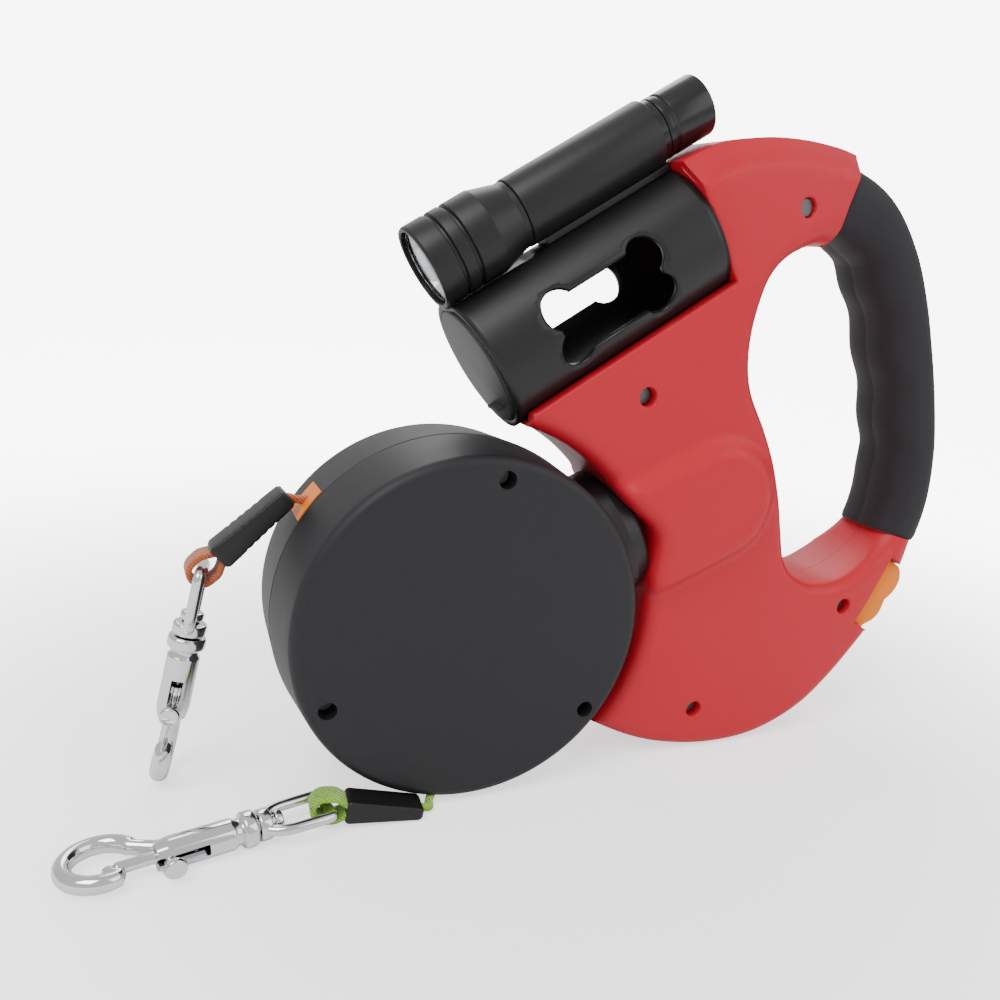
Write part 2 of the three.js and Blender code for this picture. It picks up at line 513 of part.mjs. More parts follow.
function addReel() {
  const orangeHole = fromCentre(leadChannel(ORANGE_MOUTH.clone().addScaledVector(ORANGE_PULL, -25),
    ORANGE_MOUTH.clone().addScaledVector(ORANGE_PULL, 12), LEAD_R + 0.4));
  const path = new THREE.CatmullRomCurve3([...GREEN_ROUTE, vector(-15, -29, 1.8)], false, 'centripetal');
  const greenHole = fromCentre(cord(path, LEAD_R + 0.6, 12, 8).translate([0, 0, -REEL_R]));
  const neckHole = alongSwivel(turnedX(rod(15, 40, 70), 24));
  const sides = [['front_reel_case', REEL_FRONT, -1], ['back_reel_case', REEL_BACK, 1]];
  for (const [name, face, sign] of sides) {
    let shell = turnedY(caseProfile(face, sign), 38).subtract(neckHole);
    const inner = face - sign * CASE_WALL;
    CASE_SCREW_ANGLES.forEach((degrees) => {
      const a = THREE.MathUtils.degToRad(degrees);
      const x = CASE_SCREW_RING * Math.cos(a), z = CASE_SCREW_RING * Math.sin(a);
      const seam = SEAM + sign * GAP / 2;
      const post = pinY(x, z, 3.6, Math.min(seam, face - sign), Math.max(seam, face - sign), 10);
      shell = shell.add(post.intersect(turnedY(rod(REEL_R - CASE_DRAFT - 0.6, -25.6, 24.6), 38)));
      const hole = sign < 0 ? pinY(x, z, 2.65, -30, -18, 14).add(pinY(x, z, 1.5, -19, 0, 10))
        : pinY(x, z, 1.5, -3, 12.4, 10);
      shell = shell.subtract(hole);
    });
    shell = shell.add(pinY(0, 0, 6.4, Math.min(inner, inner - sign * 3), Math.max(inner, inner - sign * 3), 16)
      .add(pinY(0, 0, 6.4, Math.min(inner, face - sign), Math.max(inner, face - sign), 16)));
    shell = shell.subtract(pinY(0, 0, AXLE_R + 0.1, -24, 23.2, 24));
    const outlet = sign < 0 ? GREEN_OUTLET : ORANGE_OUTLET;
    shell = shell.subtract(outletCutter(outlet.angle, outlet.y, outlet.halfWide, outlet.halfHigh, 0));
    shell = shell.subtract(sign < 0 ? greenHole : orangeHole);
    add(leash, name, shell, REEL_BLACK);
  }
  CASE_SCREW_ANGLES.forEach((degrees, i) => {
    const a = THREE.MathUtils.degToRad(degrees);
    const x = CASE_SCREW_RING * Math.cos(a), z = CASE_SCREW_RING * Math.sin(a);
    const screw = pinY(x, z, 2.3, -20.4, -18.3, 14).add(pinY(x, z, 1.2, -18.6, 11.8, 10));
    add(leash, `case_screw_${i + 1}`, screw, STEEL);
  });
  addOutlet('orange_outlet', ORANGE_OUTLET, orangeHole, ORANGE);
  addOutlet('green_outlet', GREEN_OUTLET, greenHole, GREEN);
  addNeck();
  const plateRing = turnedY(ring(REEL_R - CASE_WALL - GAP - 0.2, AXLE_R + GAP, SEAM - 1, SEAM + 1), 38);
  let divider = plateRing.subtract(alongSwivel(block(41.6, 60, -6, 6, -17, 17)));
  for (const degrees of CASE_SCREW_ANGLES) {
    const a = THREE.MathUtils.degToRad(degrees);
    divider = divider.subtract(pinY(CASE_SCREW_RING * Math.cos(a), CASE_SCREW_RING * Math.sin(a), 4, -6, 6));
  }
  divider = divider.subtract(outletCutter(ORANGE_OUTLET.angle, ORANGE_OUTLET.y, 8.2, 6, 0));
  divider = divider.subtract(outletCutter(GREEN_OUTLET.angle, GREEN_OUTLET.y, 12, 12.6, 0));
  add(leash, 'centre_divider', divider, ACETAL);
  add(leash, 'reel_axle', turnedY(rod(AXLE_R, -23.9, 23.1), 18), STEEL);
}

function addNeck() {
  const outer = turnedX([[0, 42], [NECK_R, 42], [NECK_R, 56], [NECK_R - 1.6, 59.6], [NECK_R - 5, 61.6],
    [12, NECK_END - 0.4], [STEM_R, NECK_END], [STEM_R, 93.3], [7.6, 93.3], [7.6, 95.7], [STEM_R, 95.7],
    [STEM_R, STEM_END], [0, STEM_END]], 18);
  const reel = turnedY([[0, REEL_FRONT - 0.3], [REEL_R - 4.4, REEL_FRONT - 0.3], [REEL_R - CASE_DRAFT + 0.4, -22.8],
    [REEL_R + 0.35, SEAM], [REEL_R - CASE_DRAFT + 0.4, 21.8], [REEL_R - 4.4, REEL_BACK + 0.3],
    [0, REEL_BACK + 0.3]], 38);
  const root = turnedX([[0, 45.5], [15.8, 45.5], [15.8, 47.4], [14.6, 47.4], [14.6, 57], [0, 57]], 24);
  const neck = outer.subtract(outOfReel(reel)).add(root).subtract(turnedX(rod(5.1, 40, 110), 16));
  add(swivel, 'swivel_neck', neck, BLACK);
  let clip = turnedX(ring(12, 7.9, 93.6, 95.4), 18);
  clip = clip.subtract(block(93, 96, -3, 3, 0, 14));
  add(swivel, 'retaining_clip', clip, STEEL);
}

function outOfReel(solid) {                        // from the leash frame into the swivel frame
  return solid.rotate([0, -DROP_DEGREES, 0]);
}

// ---------- what turns inside the reel ----------
function ratchetDisc(low, high, noseAngle) {
  const shape = new THREE.Shape();
  const root = SPOOL_R - TOOTH_DEPTH, pitch = (2 * Math.PI) / RATCHET_TEETH;
  for (let i = 0; i < RATCHET_TEETH; i += 1) {
    const a = noseAngle + pitch * (i + 0.38);
    const corners = [[a, root], [a, SPOOL_R], [a + pitch * 0.24, SPOOL_R], [a + pitch * 0.34, root]];
    corners.forEach(([angle, r], k) => {
      const point = [r * Math.cos(angle), r * Math.sin(angle)];
      if (i === 0 && k === 0) shape.moveTo(...point);
      else shape.lineTo(...point);
    });
  }
  return plate(shape, low, high);
}

function spiralRibbon(rStart, rEnd, turns, thickness, low, high) {
  const steps = turns * 12, inner = [], outer = [];
  for (let i = 0; i <= steps; i += 1) {
    const angle = (2 * Math.PI * turns * i) / steps;
    const r = rStart + ((rEnd - rStart) * i) / steps;
    inner.push([r * Math.cos(angle), r * Math.sin(angle)]);
    outer.push([(r + thickness) * Math.cos(angle), (r + thickness) * Math.sin(angle)]);
  }
  return plate(polygon([...inner, ...outer.reverse()]), low, high);
}

const NOSE_AT = -SWIVEL_DROP - 0.16;               // where the pawl's nose meets the ratchet

function addSpool(name, sign, look) {              // sign -1 is the front chamber, green
  const near = SEAM + sign * 1.5, out = (value) => near + sign * value;
  const depth = 19.6;
  const hub = [[AXLE_R + 0.15, out(0)], [SPOOL_R - TOOTH_DEPTH - 1, out(0)], [SPOOL_R - TOOTH_DEPTH - 1, out(2.8)],
    [DRUM_R, out(2.8)], [DRUM_R, out(depth - 1.4)], [SPOOL_R, out(depth - 1.4)], [SPOOL_R, out(depth)],
    [DRUM_R - 2, out(depth)], [DRUM_R - 2, out(2)], [6.4, out(2)], [6.4, out(depth - 3)],
    [AXLE_R + 0.15, out(depth - 3)], [AXLE_R + 0.15, out(0)]];
  const teeth = ratchetDisc(Math.min(out(0), out(2.8)), Math.max(out(0), out(2.8)), NOSE_AT)
    .subtract(turnedY(rod(20, -30, 30)));
  add(leash, `${name}_spool`, turnedY(hub, 18).add(teeth), ACETAL);
  const spring = spiralRibbon(7.4, 21.5, 4, 0.7, Math.min(out(4), out(14)), Math.max(out(4), out(14)));
  add(leash, `${name}_power_spring`, spring, STEEL);
  const coil = [[DRUM_R + GAP, out(3.3)], [COIL_R - 1.2, out(3.3)], [COIL_R - LEAD_R, out(6)],
    [COIL_R - LEAD_R, out(depth - 4)], [COIL_R - 1.2, out(depth - 2)], [DRUM_R + GAP, out(depth - 2)],
    [DRUM_R + GAP, out(3.3)]];
  add(leash, `${name}_lead_coil`, turnedY(coil, 26), look);
}

// The rod works the orange pawl and the tube round it the green one's pad, whichever way the head is turned.
function addPawl(name, low, high, pad) {
  const shape = polygon([[42.1, -8.6], [44.4, -8.6], [44.4, -1], [44, 0.5], [44, 10.6], [45, 12], [45, 16],
    [41.6, 16], [41.6, 10], [42.8, 8], [42.8, 1.2], [42.1, -0.4], [42.1, -5], [41.3, -5.4], [41.3, -8.4]]);
  const pawl = plate(shape, low, high).subtract(pinY(43.3, 14, 1.45, -20, 20, 12));
  add(swivel, name, pad ? pawl.add(pad) : pawl, STEEL);
}

function addReelInside() {
  addSpool('green', -1, GREEN_WEAVE);
  addSpool('orange', 1, ORANGE_WEAVE);
  addPawl('green_pawl', -5.6, -3.1, block(43, TUBE_INNER - 0.4, -4.4, -3.1, -2.4, -0.6));
  addPawl('orange_pawl', 0.2, 2.7);
  add(swivel, 'pawl_pin', pinY(43.3, 14, 1.15, -7, 5, 12), STEEL);
}

// ---------- leads and snaps ----------
// One snap, its eye's bar at the origin and its barrel along +x, lying flat in the x-y plane.
function snapEye() {
  const outline = new THREE.Shape();
  outline.moveTo(-1.5, -5).lineTo(-1.5, 5);
  outline.absarc(1.3, 5, 2.8, Math.PI, Math.PI / 2, true);
  outline.lineTo(14, 7.8).lineTo(19.6, 4.6).lineTo(19.6, -4.6).lineTo(14, -7.8).lineTo(1.3, -7.8);
  outline.absarc(1.3, -5, 2.8, -Math.PI / 2, -Math.PI, true);
  const hole = new THREE.Path();
  hole.moveTo(1.5, -4.9).lineTo(1.5, 4.9).lineTo(13, 4.9).lineTo(15.4, 3.4).lineTo(15.4, -3.4);
  hole.lineTo(13, -4.9);
  outline.holes.push(hole);
  const flat = toSolid(new THREE.ExtrudeGeometry(tidy(outline), { depth: 3.2, bevelEnabled: false }))
    .translate([0, 0, -1.6]);
  const boss = turnedX(rod(4.6, 16, 19.6), 16);
  return flat.add(boss).subtract(turnedX(rod(2.3, 10, 30), 14));
}

const RING_MID = [57.6, 4.2], RING_R = 10.8, RING_HOLE = 6.2;
const COLLAR_R = 5.1, SNAP_BARREL_R = 4.4;

function upright(r, height, sides) {               // a round plug along the snap's flat direction
  const disc = new THREE.CylinderGeometry(r, r, height, sides);
  disc.rotateX(Math.PI / 2);
  disc.translate(RING_MID[0], RING_MID[1], 0);
  return toSolid(disc);
}

function snapBody() {
  const axisPart = turnedX([[0, 12.8], [3.2, 12.8], [3.2, 15], [1.9, 15.1], [1.9, 20], [COLLAR_R, 20],
    [COLLAR_R, 23.4], [3.9, 24.6], [SNAP_BARREL_R, 26], [SNAP_BARREL_R, 45.4], [0, 45.4]], 14);
  const gate = block(45.4, 56, -12, 1.9, -4, 4);
  const hook = upright(RING_R, 5.4, 26).subtract(upright(RING_HOLE, 12, 20)).subtract(gate)
    .subtract(block(38, 44.6, -20, 20, -4, 4)).add(block(56, 59, -4.5, 1.4, -2.3, 2.3));
  const arm = toSolid(new THREE.BoxGeometry(8, 3.6, 5)).rotate([0, 0, 24]).translate([45.6, 4.1, 0]);
  const bore = turnedX(rod(2, 27.6, 56.8), 14);
  const slot = block(32.8, 44.5, -6, 0, -1.5, 1.5);
  return axisPart.add(hook).add(arm).subtract(bore).subtract(slot);
}

function snapBolt() {
  const pin = turnedX(rod(1.65, 36, 55.4), 12);
  const post = block(41.2, 43.8, -6.3, 0, -1.15, 1.15);
  const knob = new THREE.CylinderGeometry(3, 2.4, 2.6, 14);
  knob.translate(42.5, -7.2, 0);
  return pin.add(post).add(toSolid(knob));
}

function stopBlock(tip) {                          // along +x from the lead's side to the loop's side
  const h = BLOCK_THICK / 2, w = BLOCK_WIDTH / 2;
  const side = polygon([[0, -tip], [BLOCK_LENGTH, -h], [BLOCK_LENGTH, h], [0, tip]]);
  return plate(side, -w, w).subtract(turnedX(rod(LEAD_R + 0.4, -5, BLOCK_LENGTH + 5), 10));
}

function webbingLoop(reachOut) {                   // a strap round the eye's bar, in the x-z plane
  const shape = new THREE.Shape();
  shape.moveTo(-4.5, -3).lineTo(-2, -4.2).lineTo(reachOut, -4.2);
  shape.absarc(reachOut, 0, 4.2, -Math.PI / 2, Math.PI / 2, false);
  shape.lineTo(-2, 4.2).lineTo(-4.5, 3);
  const hole = new THREE.Path();
  hole.moveTo(-2.6, -2.5).lineTo(reachOut, -3);
  hole.absarc(reachOut, 0, 3, -Math.PI / 2, Math.PI / 2, false);
  hole.lineTo(-2.6, 2.5);
  shape.holes.push(hole);
  return plate(tidy(shape), -2.75, 2.75);
}

// Group orientations: x along the piece, in the floor frame.
function placed(parent, origin, xAxis, yHint) {
  const x = xAxis.clone().normalize();
  const z = new THREE.Vector3().crossVectors(x, yHint).normalize();
  const y = new THREE.Vector3().crossVectors(z, x);
  const group = new THREE.Group();
  group.matrix.makeBasis(x, y, z).setPosition(origin);
  group.matrix.decompose(group.position, group.quaternion, group.scale);
  parent.add(group);
  return group;
}

function addSnap(name, origin, along, across) {
  const holder = placed(stand, origin, along, across);
  add(holder, `${name}_snap_eye`, snapEye(), CHROME);
  add(holder, `${name}_snap_body`, snapBody(), CHROME);
  add(holder, `${name}_snap_bolt`, snapBolt(), CHROME);
  return holder;
}

// The straight run inside the case, the bend at the outlet, the run through the block and the loop.
function leadWithLoop(blockGroup, routePoints) {
  const inverse = new THREE.Matrix4().compose(blockGroup.position, blockGroup.quaternion,
    vector(1, 1, 1)).invert();
  const local = routePoints.map((point) => point.clone().applyMatrix4(inverse));
  const through = [-2.5, 0, BLOCK_LENGTH / 2, BLOCK_LENGTH + 1.5].map((x) => vector(x, 0, 0));
  const route = new THREE.CatmullRomCurve3([...local, ...through], false, 'centripetal');
  const loop = webbingLoop(LOOP_REACH).translate([BLOCK_LENGTH + BAR_AHEAD, 0, 0]);
  return cord(route, LEAD_R, 20, 7).add(loop);
}

function addLead(name, start, along, upHint, routePoints, look) {
  const holder = placed(stand, start, along, upHint);
  add(holder, `${name}_stop_block`, stopBlock(name === 'green' ? 1.9 : 3.2), BLACK);
  add(holder, `${name}_lead`, leadWithLoop(holder, routePoints), look);
  return start.clone().addScaledVector(along.clone().normalize(), BLOCK_LENGTH + BAR_AHEAD);
}

const deg = THREE.MathUtils.degToRad;
const orangeStart = vector(-49.9, ORANGE_Y, REEL_R + 32.4);
const orangeAlong = vector(Math.cos(deg(222)), 0, Math.sin(deg(222)));
const greenStart = vector(-16, -28, 2.05);
const greenAlong = vector(-1, 0.11, 0.145);

function addLeads() {
  const mouth = ORANGE_MOUTH.clone().setZ(ORANGE_MOUTH.z + REEL_R);
  const orangeRoute = [38, 26, 14, 2].map((back) => mouth.clone().addScaledVector(ORANGE_PULL, -back));
  const orangeBar = addLead('orange', orangeStart, orangeAlong, vector(0, 1, 0), orangeRoute, ORANGE_WEAVE);
  const greenBar = addLead('green', greenStart, greenAlong, vector(0, 1, 0), GREEN_ROUTE, GREEN_WEAVE);
  addSnap('orange', orangeBar, vector(-0.225, 0.03, -1), vector(0.2, 0.98, 0));
  addSnap('green', greenBar, vector(-0.98, -0.19, -0.032), vector(-0.19, 0.98, 0));
}

addHandle();
addTubeAndCap();
addTorch();
addBrakes();
addReel();
addReelInside();
addLeads();

// The whole piece is moved so that the middle of its box's underside is the origin.
const bounds = new THREE.Box3().setFromObject(stand, true);
const assembly = new THREE.Group();
stand.position.set(-(bounds.min.x + bounds.max.x) / 2, -(bounds.min.y + bounds.max.y) / 2, -bounds.min.z);
assembly.add(stand);

export default assembly;
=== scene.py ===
"""A two-lead retractable leash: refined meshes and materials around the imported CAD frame.

Shapes are built in millimetres in the leash's own frame: x runs along the bag tube towards the hand
grip, y from the front of the reel to its back, z towards the torch, with the reel's centre at 0.
The leads and snaps are placed in the level floor frame, with 0 on the floor below that centre.
"""

import json
from math import acos, asin, copysign, cos, pi, radians, sin, sqrt, tan

import bmesh
import bpy
import numpy as np
from mathutils import Matrix, Vector
from mathutils.geometry import delaunay_2d_cdt


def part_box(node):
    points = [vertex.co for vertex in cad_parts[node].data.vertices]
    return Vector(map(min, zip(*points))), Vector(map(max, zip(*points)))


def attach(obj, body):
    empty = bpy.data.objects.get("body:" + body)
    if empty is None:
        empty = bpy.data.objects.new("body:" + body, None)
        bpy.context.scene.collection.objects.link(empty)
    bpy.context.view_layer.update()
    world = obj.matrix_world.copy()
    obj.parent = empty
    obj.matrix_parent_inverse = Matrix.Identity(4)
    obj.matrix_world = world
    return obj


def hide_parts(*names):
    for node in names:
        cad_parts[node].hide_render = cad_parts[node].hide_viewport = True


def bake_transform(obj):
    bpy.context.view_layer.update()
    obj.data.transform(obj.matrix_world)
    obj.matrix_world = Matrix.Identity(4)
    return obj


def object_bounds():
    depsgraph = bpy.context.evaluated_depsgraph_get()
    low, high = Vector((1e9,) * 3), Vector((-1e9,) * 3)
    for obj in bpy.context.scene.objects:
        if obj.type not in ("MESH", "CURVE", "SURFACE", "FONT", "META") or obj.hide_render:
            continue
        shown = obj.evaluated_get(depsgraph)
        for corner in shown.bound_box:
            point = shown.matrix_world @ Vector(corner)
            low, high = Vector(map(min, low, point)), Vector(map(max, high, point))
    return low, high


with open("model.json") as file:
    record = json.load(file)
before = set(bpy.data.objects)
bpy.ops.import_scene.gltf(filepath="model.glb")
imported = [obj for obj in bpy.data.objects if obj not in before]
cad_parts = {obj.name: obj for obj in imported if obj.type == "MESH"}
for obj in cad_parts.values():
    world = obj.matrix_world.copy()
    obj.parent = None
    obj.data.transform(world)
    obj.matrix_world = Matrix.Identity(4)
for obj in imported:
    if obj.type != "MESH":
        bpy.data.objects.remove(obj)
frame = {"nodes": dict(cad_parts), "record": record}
size_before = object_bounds()

# ---------- driving dimensions, in millimetres ----------
TILT = radians(33)                     # lean of the leash as it stands on its rim
SWIVEL_DROP = radians(9.5)             # the swivel's axis against the bag tube's
AXLE_REACH = 0.0239                    # metres from the axle's front end to the mid plane

REEL_R, REEL_FRONT, REEL_BACK, SEAM = 54, -26, 25, -1.5
CASE_DRAFT, CASE_FILLET, CASE_WALL, CASE_SHARP = 1.4, 3.2, 1.9, 40
SCREW_RING, SCREW_ANGLES = 46.3, (49.8, 169.8, 289.8)
CASE_WELL_R, CASE_WELL_DEPTH = 2.65, 7.0
ORANGE_ANGLE, GREEN_ANGLE = 109, -137  # the outlets' places round the rim, in degrees
NECK_R, NECK_END, NECK_BORE, STEM_R, STEM_END = 21, 63, 5.1, 9, 97.5

TUBE_Z, TUBE_R, TUBE_WALL = 58.5, 19.8, 2.0
TUBE_FRONT, TUBE_REAR = 43.9, 121
TORCH_Z, TORCH_FRONT, TORCH_R, BARREL_R, TAIL_END = 88.8, 42.9, 11.7, 8.5, 138.5
SLEEVE_FRONT, SLEEVE_REAR, SLEEVE_R = 73.4, 119.6, 9.6

BODY_T, SHELL_WALL, SHELL_SHARP = 18.0, 2.2, 50
BODY_SCREWS = ((80.8, 29), (153.3, 50.3), (118.4, -82.5), (49.9, -78.2))
WELL_R, WELL_FLOOR, LEDGE_FLOOR, RIM_FLOOR = 2.9, 6.0, 13.5, 0.06
CLEAR_R, LEDGE_Z, LEDGE_START, FIT_GAP = 60.5, 43.7, 47.3, 0.3
REEL_SIDE_LOW, REEL_SIDE_GAP = -1.28, 0.075   # radians: the hollow side's lower end, its gap on top
NOTCH_HALF, NOTCH_DEPTH = 15.0, 4.4   # the hollow in the reel side that takes the neck
BOSS_HALF, BOSS_TURN, BOSS_RISE, BOSS_EDGE = 21.8, 90.5, 4.3, 6.6
CHAMFER, CHAMFER_FROM, CHAMFER_RAMP = 7.0, 30, 14   # the crown's facet: width, and the heights it grows over
THIN_FROM, THIN_RAMP = 128, 40   # where the body thins to the grip's thickness
SOFT_R, SOFT_REACH = 9.0, 26     # rounder edges close to the grip
GRIP_T, GRIP_WIDE = 14.8, 11.2
RIM_STEP, LATTICE_STEP, LATTICE_GAP = 1.3, 1.9, 5.9
WELD = 2e-6                            # metres between points that are one

BUTTON_MID, BUTTON_HALF, BUTTON_SLOT = np.array((137, -93.7)), 13.5, 9
EDGE = np.array((-0.885, -0.4656)) / np.hypot(0.885, 0.4656)   # along the buttons' edge
OUT = np.array((-EDGE[1], EDGE[0]))   # out of the body there

LEAD_R, BLOCK_LENGTH, EYE_GAP, EYE_BAR_R = 1.25, 22, 5.4, 1.55
STRAP_HALF, STRAP_THICK, STRAP_REACH = 3.8, 0.8, 3.45
SNAP_R, SNAP_BORE = 4.4, 2.0
SLOT_FROM, SLOT_TO, SLOT_OPEN = 33.0, 45.4, 0.36   # the slot's ends, and half its opening in radians
NOSE_FROM, NOSE_LENGTH, NOSE_TAPER = 42.5, 2.9, 0.5
KNOB_X = 42.5
HOOK_MID, HOOK_R, HOOK_BAR, HOOK_ROOT = (57.6, 4.2), 8.6, 2.25, 1.9

GLOW_NEAR, GLOW_FAR, GLOW_LOW, GLOW_HIGH = 0.10, 0.55, 1.2, 7.0   # metres, and strength of the floor's painted glow

low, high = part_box("reel_axle")
CENTRE = Vector(((low.x + high.x) / 2, low.y + AXLE_REACH, (low.z + high.z) / 2))
LEASH = Matrix.Translation(CENTRE) @ Matrix.Rotation(-TILT, 4, "Y") @ Matrix.Scale(0.001, 4)
SWIVEL = LEASH @ Matrix.Rotation(SWIVEL_DROP, 4, "Y")
FLOOR_FRAME = Matrix.Translation(CENTRE - Vector((0, 0, REEL_R / 1000))) @ Matrix.Scale(0.001, 4)


# ---------- materials ----------
class Shader:
    """A small builder for node materials."""

    def __init__(self, name):
        self.material = bpy.data.materials.new(name)
        self.material.use_nodes = True
        self.tree = self.material.node_tree
        self.shader = self.tree.nodes["Principled BSDF"]

    def node(self, kind, **values):
        made = self.tree.nodes.new(kind)
        for key, value in values.items():
            if key in made.inputs:
                made.inputs[key].default_value = value
            else:
                setattr(made, key, value)
        return made

    def link(self, a, b):
        self.tree.links.new(a, b)

    def coordinates(self):
        return self.node("ShaderNodeTexCoord").outputs["Object"]

    def set(self, **values):
        for key, value in values.items():
            self.shader.inputs[key.replace("_", " ")].default_value = value

    def bump(self, height, strength, distance):
        bump = self.node("ShaderNodeBump", Strength=strength, Distance=distance)
        self.link(height, bump.inputs["Height"])
        self.link(bump.outputs["Normal"], self.shader.inputs["Normal"])

    def noise(self, scale, detail=2.0):
        noise = self.node("ShaderNodeTexNoise", Scale=scale, Detail=detail)
        self.link(self.coordinates(), noise.inputs["Vector"])
        return noise.outputs["Fac"]

    def ramp(self, factor, low, high, socket):
        spread = self.node("ShaderNodeMapRange")
        spread.inputs["To Min"].default_value = low
        spread.inputs["To Max"].default_value = high
        self.link(factor, spread.inputs["Value"])
        self.link(spread.outputs["Result"], self.shader.inputs[socket])


def plastic(name, color, roughness, grain=0.0, grain_scale=2500.0, variation=0.04, shine=0.4):
    s = Shader(name)
    s.set(Base_Color=(*color, 1), Roughness=roughness, IOR=1.5, Specular_IOR_Level=shine)
    s.ramp(s.noise(90, 3), roughness - variation, roughness + variation, "Roughness")
    if grain:
        s.bump(s.noise(grain_scale, 1), grain, 0.0001)
    return s.material


def metal(name, color, roughness):
    s = Shader(name)
    s.set(Base_Color=(*color, 1), Roughness=roughness, Metallic=1.0)
    s.ramp(s.noise(160, 3), roughness * 0.7, roughness * 1.35, "Roughness")
    return s.material


def webbing(name, color, fleck):
    s = Shader(name)
    s.set(Roughness=0.85, Sheen_Weight=0.4)
    where = s.coordinates()
    waves = []
    for direction, tilt in (("DIAGONAL", 0.0), ("X", 0.9)):
        turn = s.node("ShaderNodeMapping", Rotation=(tilt, tilt, 0.3))
        s.link(where, turn.inputs["Vector"])
        wave = s.node("ShaderNodeTexWave", Scale=420.0, Distortion=1.5, bands_direction=direction)
        s.link(turn.outputs["Vector"], wave.inputs["Vector"])
        waves.append(wave.outputs["Fac"])
    weave = s.node("ShaderNodeMath", operation="MULTIPLY")
    s.link(waves[0], weave.inputs[0])
    s.link(waves[1], weave.inputs[1])
    spots = s.node("ShaderNodeTexVoronoi", Scale=620.0)
    s.link(where, spots.inputs["Vector"])
    dark = s.node("ShaderNodeMath", operation="LESS_THAN")
    dark.inputs[1].default_value = 0.16
    s.link(spots.outputs["Distance"], dark.inputs[0])
    mix = s.node("ShaderNodeMix", data_type="RGBA", A=(*color, 1), B=(*fleck, 1))
    s.link(dark.outputs[0], mix.inputs["Factor"])
    # painted shade: the colour is darkened where the weave dips, between the threads
    weave_shade = s.node("ShaderNodeMix", data_type="RGBA", blend_type="MULTIPLY", Factor=0.5)
    s.link(mix.outputs["Result"], weave_shade.inputs["A"])
    s.link(weave.outputs[0], weave_shade.inputs["B"])
    s.link(weave_shade.outputs["Result"], s.shader.inputs["Base Color"])
    s.bump(weave.outputs[0], 0.9, 0.0004)
    return s.material


def clear(name):
    s = Shader(name)
    s.set(Base_Color=(0.9, 0.93, 0.95, 1), Roughness=0.03, IOR=1.49, Transmission_Weight=1.0)
    return s.material


PLASTICS = {   # colour, roughness, then grain, its scale, the variation of roughness, shine
    "red_shell": ((0.53, 0.013, 0.026), 0.42, 0.05, 1800, 0.03, 0.3),
    "black_plastic": ((0.009, 0.009, 0.010), 0.40, 0.12, 2500, 0.04, 0.4),
    "reel_plastic": ((0.014, 0.0135, 0.016), 0.50, 0.25, 3200, 0.04, 0.35),
    "grip_rubber": ((0.013, 0.011, 0.015), 0.62, 0.3, 2600, 0.04, 0.35),
    "gloss_black": ((0.006, 0.006, 0.007), 0.24, 0.0, 0.0, 0.04, 0.5),
    "cap_grey": ((0.030, 0.028, 0.027), 0.45, 0.2, 2500, 0.04, 0.35),
    "orange_plastic": ((0.90, 0.22, 0.003), 0.38, 0.05, 1800, 0.03, 0.25),
    "green_plastic": ((0.25, 0.60, 0.01), 0.38, 0.05, 1800, 0.03, 0.25),
    "acetal": ((0.72, 0.69, 0.62), 0.45),
    "led": ((0.80, 0.68, 0.12), 0.4),
}
MATERIALS = {name: plastic(name, *values) for name, values in PLASTICS.items()} | {
    "orange_webbing": webbing("orange_webbing", (0.80, 0.17, 0.035), (0.30, 0.05, 0.01)),
    "green_webbing": webbing("green_webbing", (0.42, 0.85, 0.03), (0.02, 0.05, 0.02)),
    "chrome": metal("chrome", (0.78, 0.78, 0.80), 0.09),
    "steel": metal("steel", (0.16, 0.16, 0.165), 0.42),
    "brass": metal("brass", (0.62, 0.42, 0.15), 0.30),
    "lens": clear("lens"),
}


# ---------- mesh helpers ----------
def shade(mesh, angle):
    """Smooth shading, with edges sharper than the angle left crisp."""
    mesh.shade_smooth()
    mesh.set_sharp_from_angle(angle=radians(angle))


def piece(name, points, faces, matrix, body, slot, nodes, angle=35):
    """A new mesh, from millimetres in the matrix's frame. It rides on a CAD body, if one is named."""
    mesh = bpy.data.meshes.new(name)
    mesh.from_pydata([tuple(matrix @ Vector(p)) for p in points], [], [tuple(f) for f in faces])
    work = bmesh.new()
    work.from_mesh(mesh)
    bmesh.ops.remove_doubles(work, verts=work.verts, dist=WELD)
    bmesh.ops.dissolve_degenerate(work, dist=WELD / 2, edges=work.edges)
    bmesh.ops.recalc_face_normals(work, faces=work.faces)
    work.to_mesh(mesh)
    work.free()
    shade(mesh, angle)
    made = bpy.data.objects.new(name, mesh)
    bpy.context.scene.collection.objects.link(made)
    made.data.materials.append(MATERIALS[slot])
    if body:
        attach(made, body)
    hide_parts(*nodes)
    return made


def thicken(made, thickness):
    """Turns an open sheet into a closed wall that lies inside the sheet."""
    solid = made.modifiers.new("wall", "SOLIDIFY")
    solid.thickness = thickness / 1000
    solid.offset = -1
    solid.use_even_offset = False
    done = bpy.data.meshes.new_from_object(made.evaluated_get(bpy.context.evaluated_depsgraph_get()))
    made.modifiers.clear()
    made.data = done
    return made


def rounded(profile, radii, steps=6):
    """A [radius, place] outline whose corners have the given fillets."""
    points = [np.array(p, float) for p in profile]
    out = []
    for i, p in enumerate(points):
        r = radii.get(i, 0)
        if r == 0:
            out.append(p)
            continue
        a, b = points[i - 1] - p, points[i + 1] - p
        la, lb = np.linalg.norm(a), np.linalg.norm(b)
        a, b = a / la, b / lb
        half = acos(np.clip(a @ b, -1, 1)) / 2
        reach = min(r / tan(half), la * 0.49, lb * 0.49)
        r = reach * tan(half)
        mid = p + (a + b) / np.linalg.norm(a + b) * r / sin(half)
        start, end = p + a * reach - mid, p + b * reach - mid
        sweep = acos(np.clip(start @ end / (r * r), -1, 1))
        for k in range(steps + 1):
            t = k / steps
            turn = sin((1 - t) * sweep) * start + sin(t * sweep) * end
            out.append(mid + turn / sin(sweep))
    return out


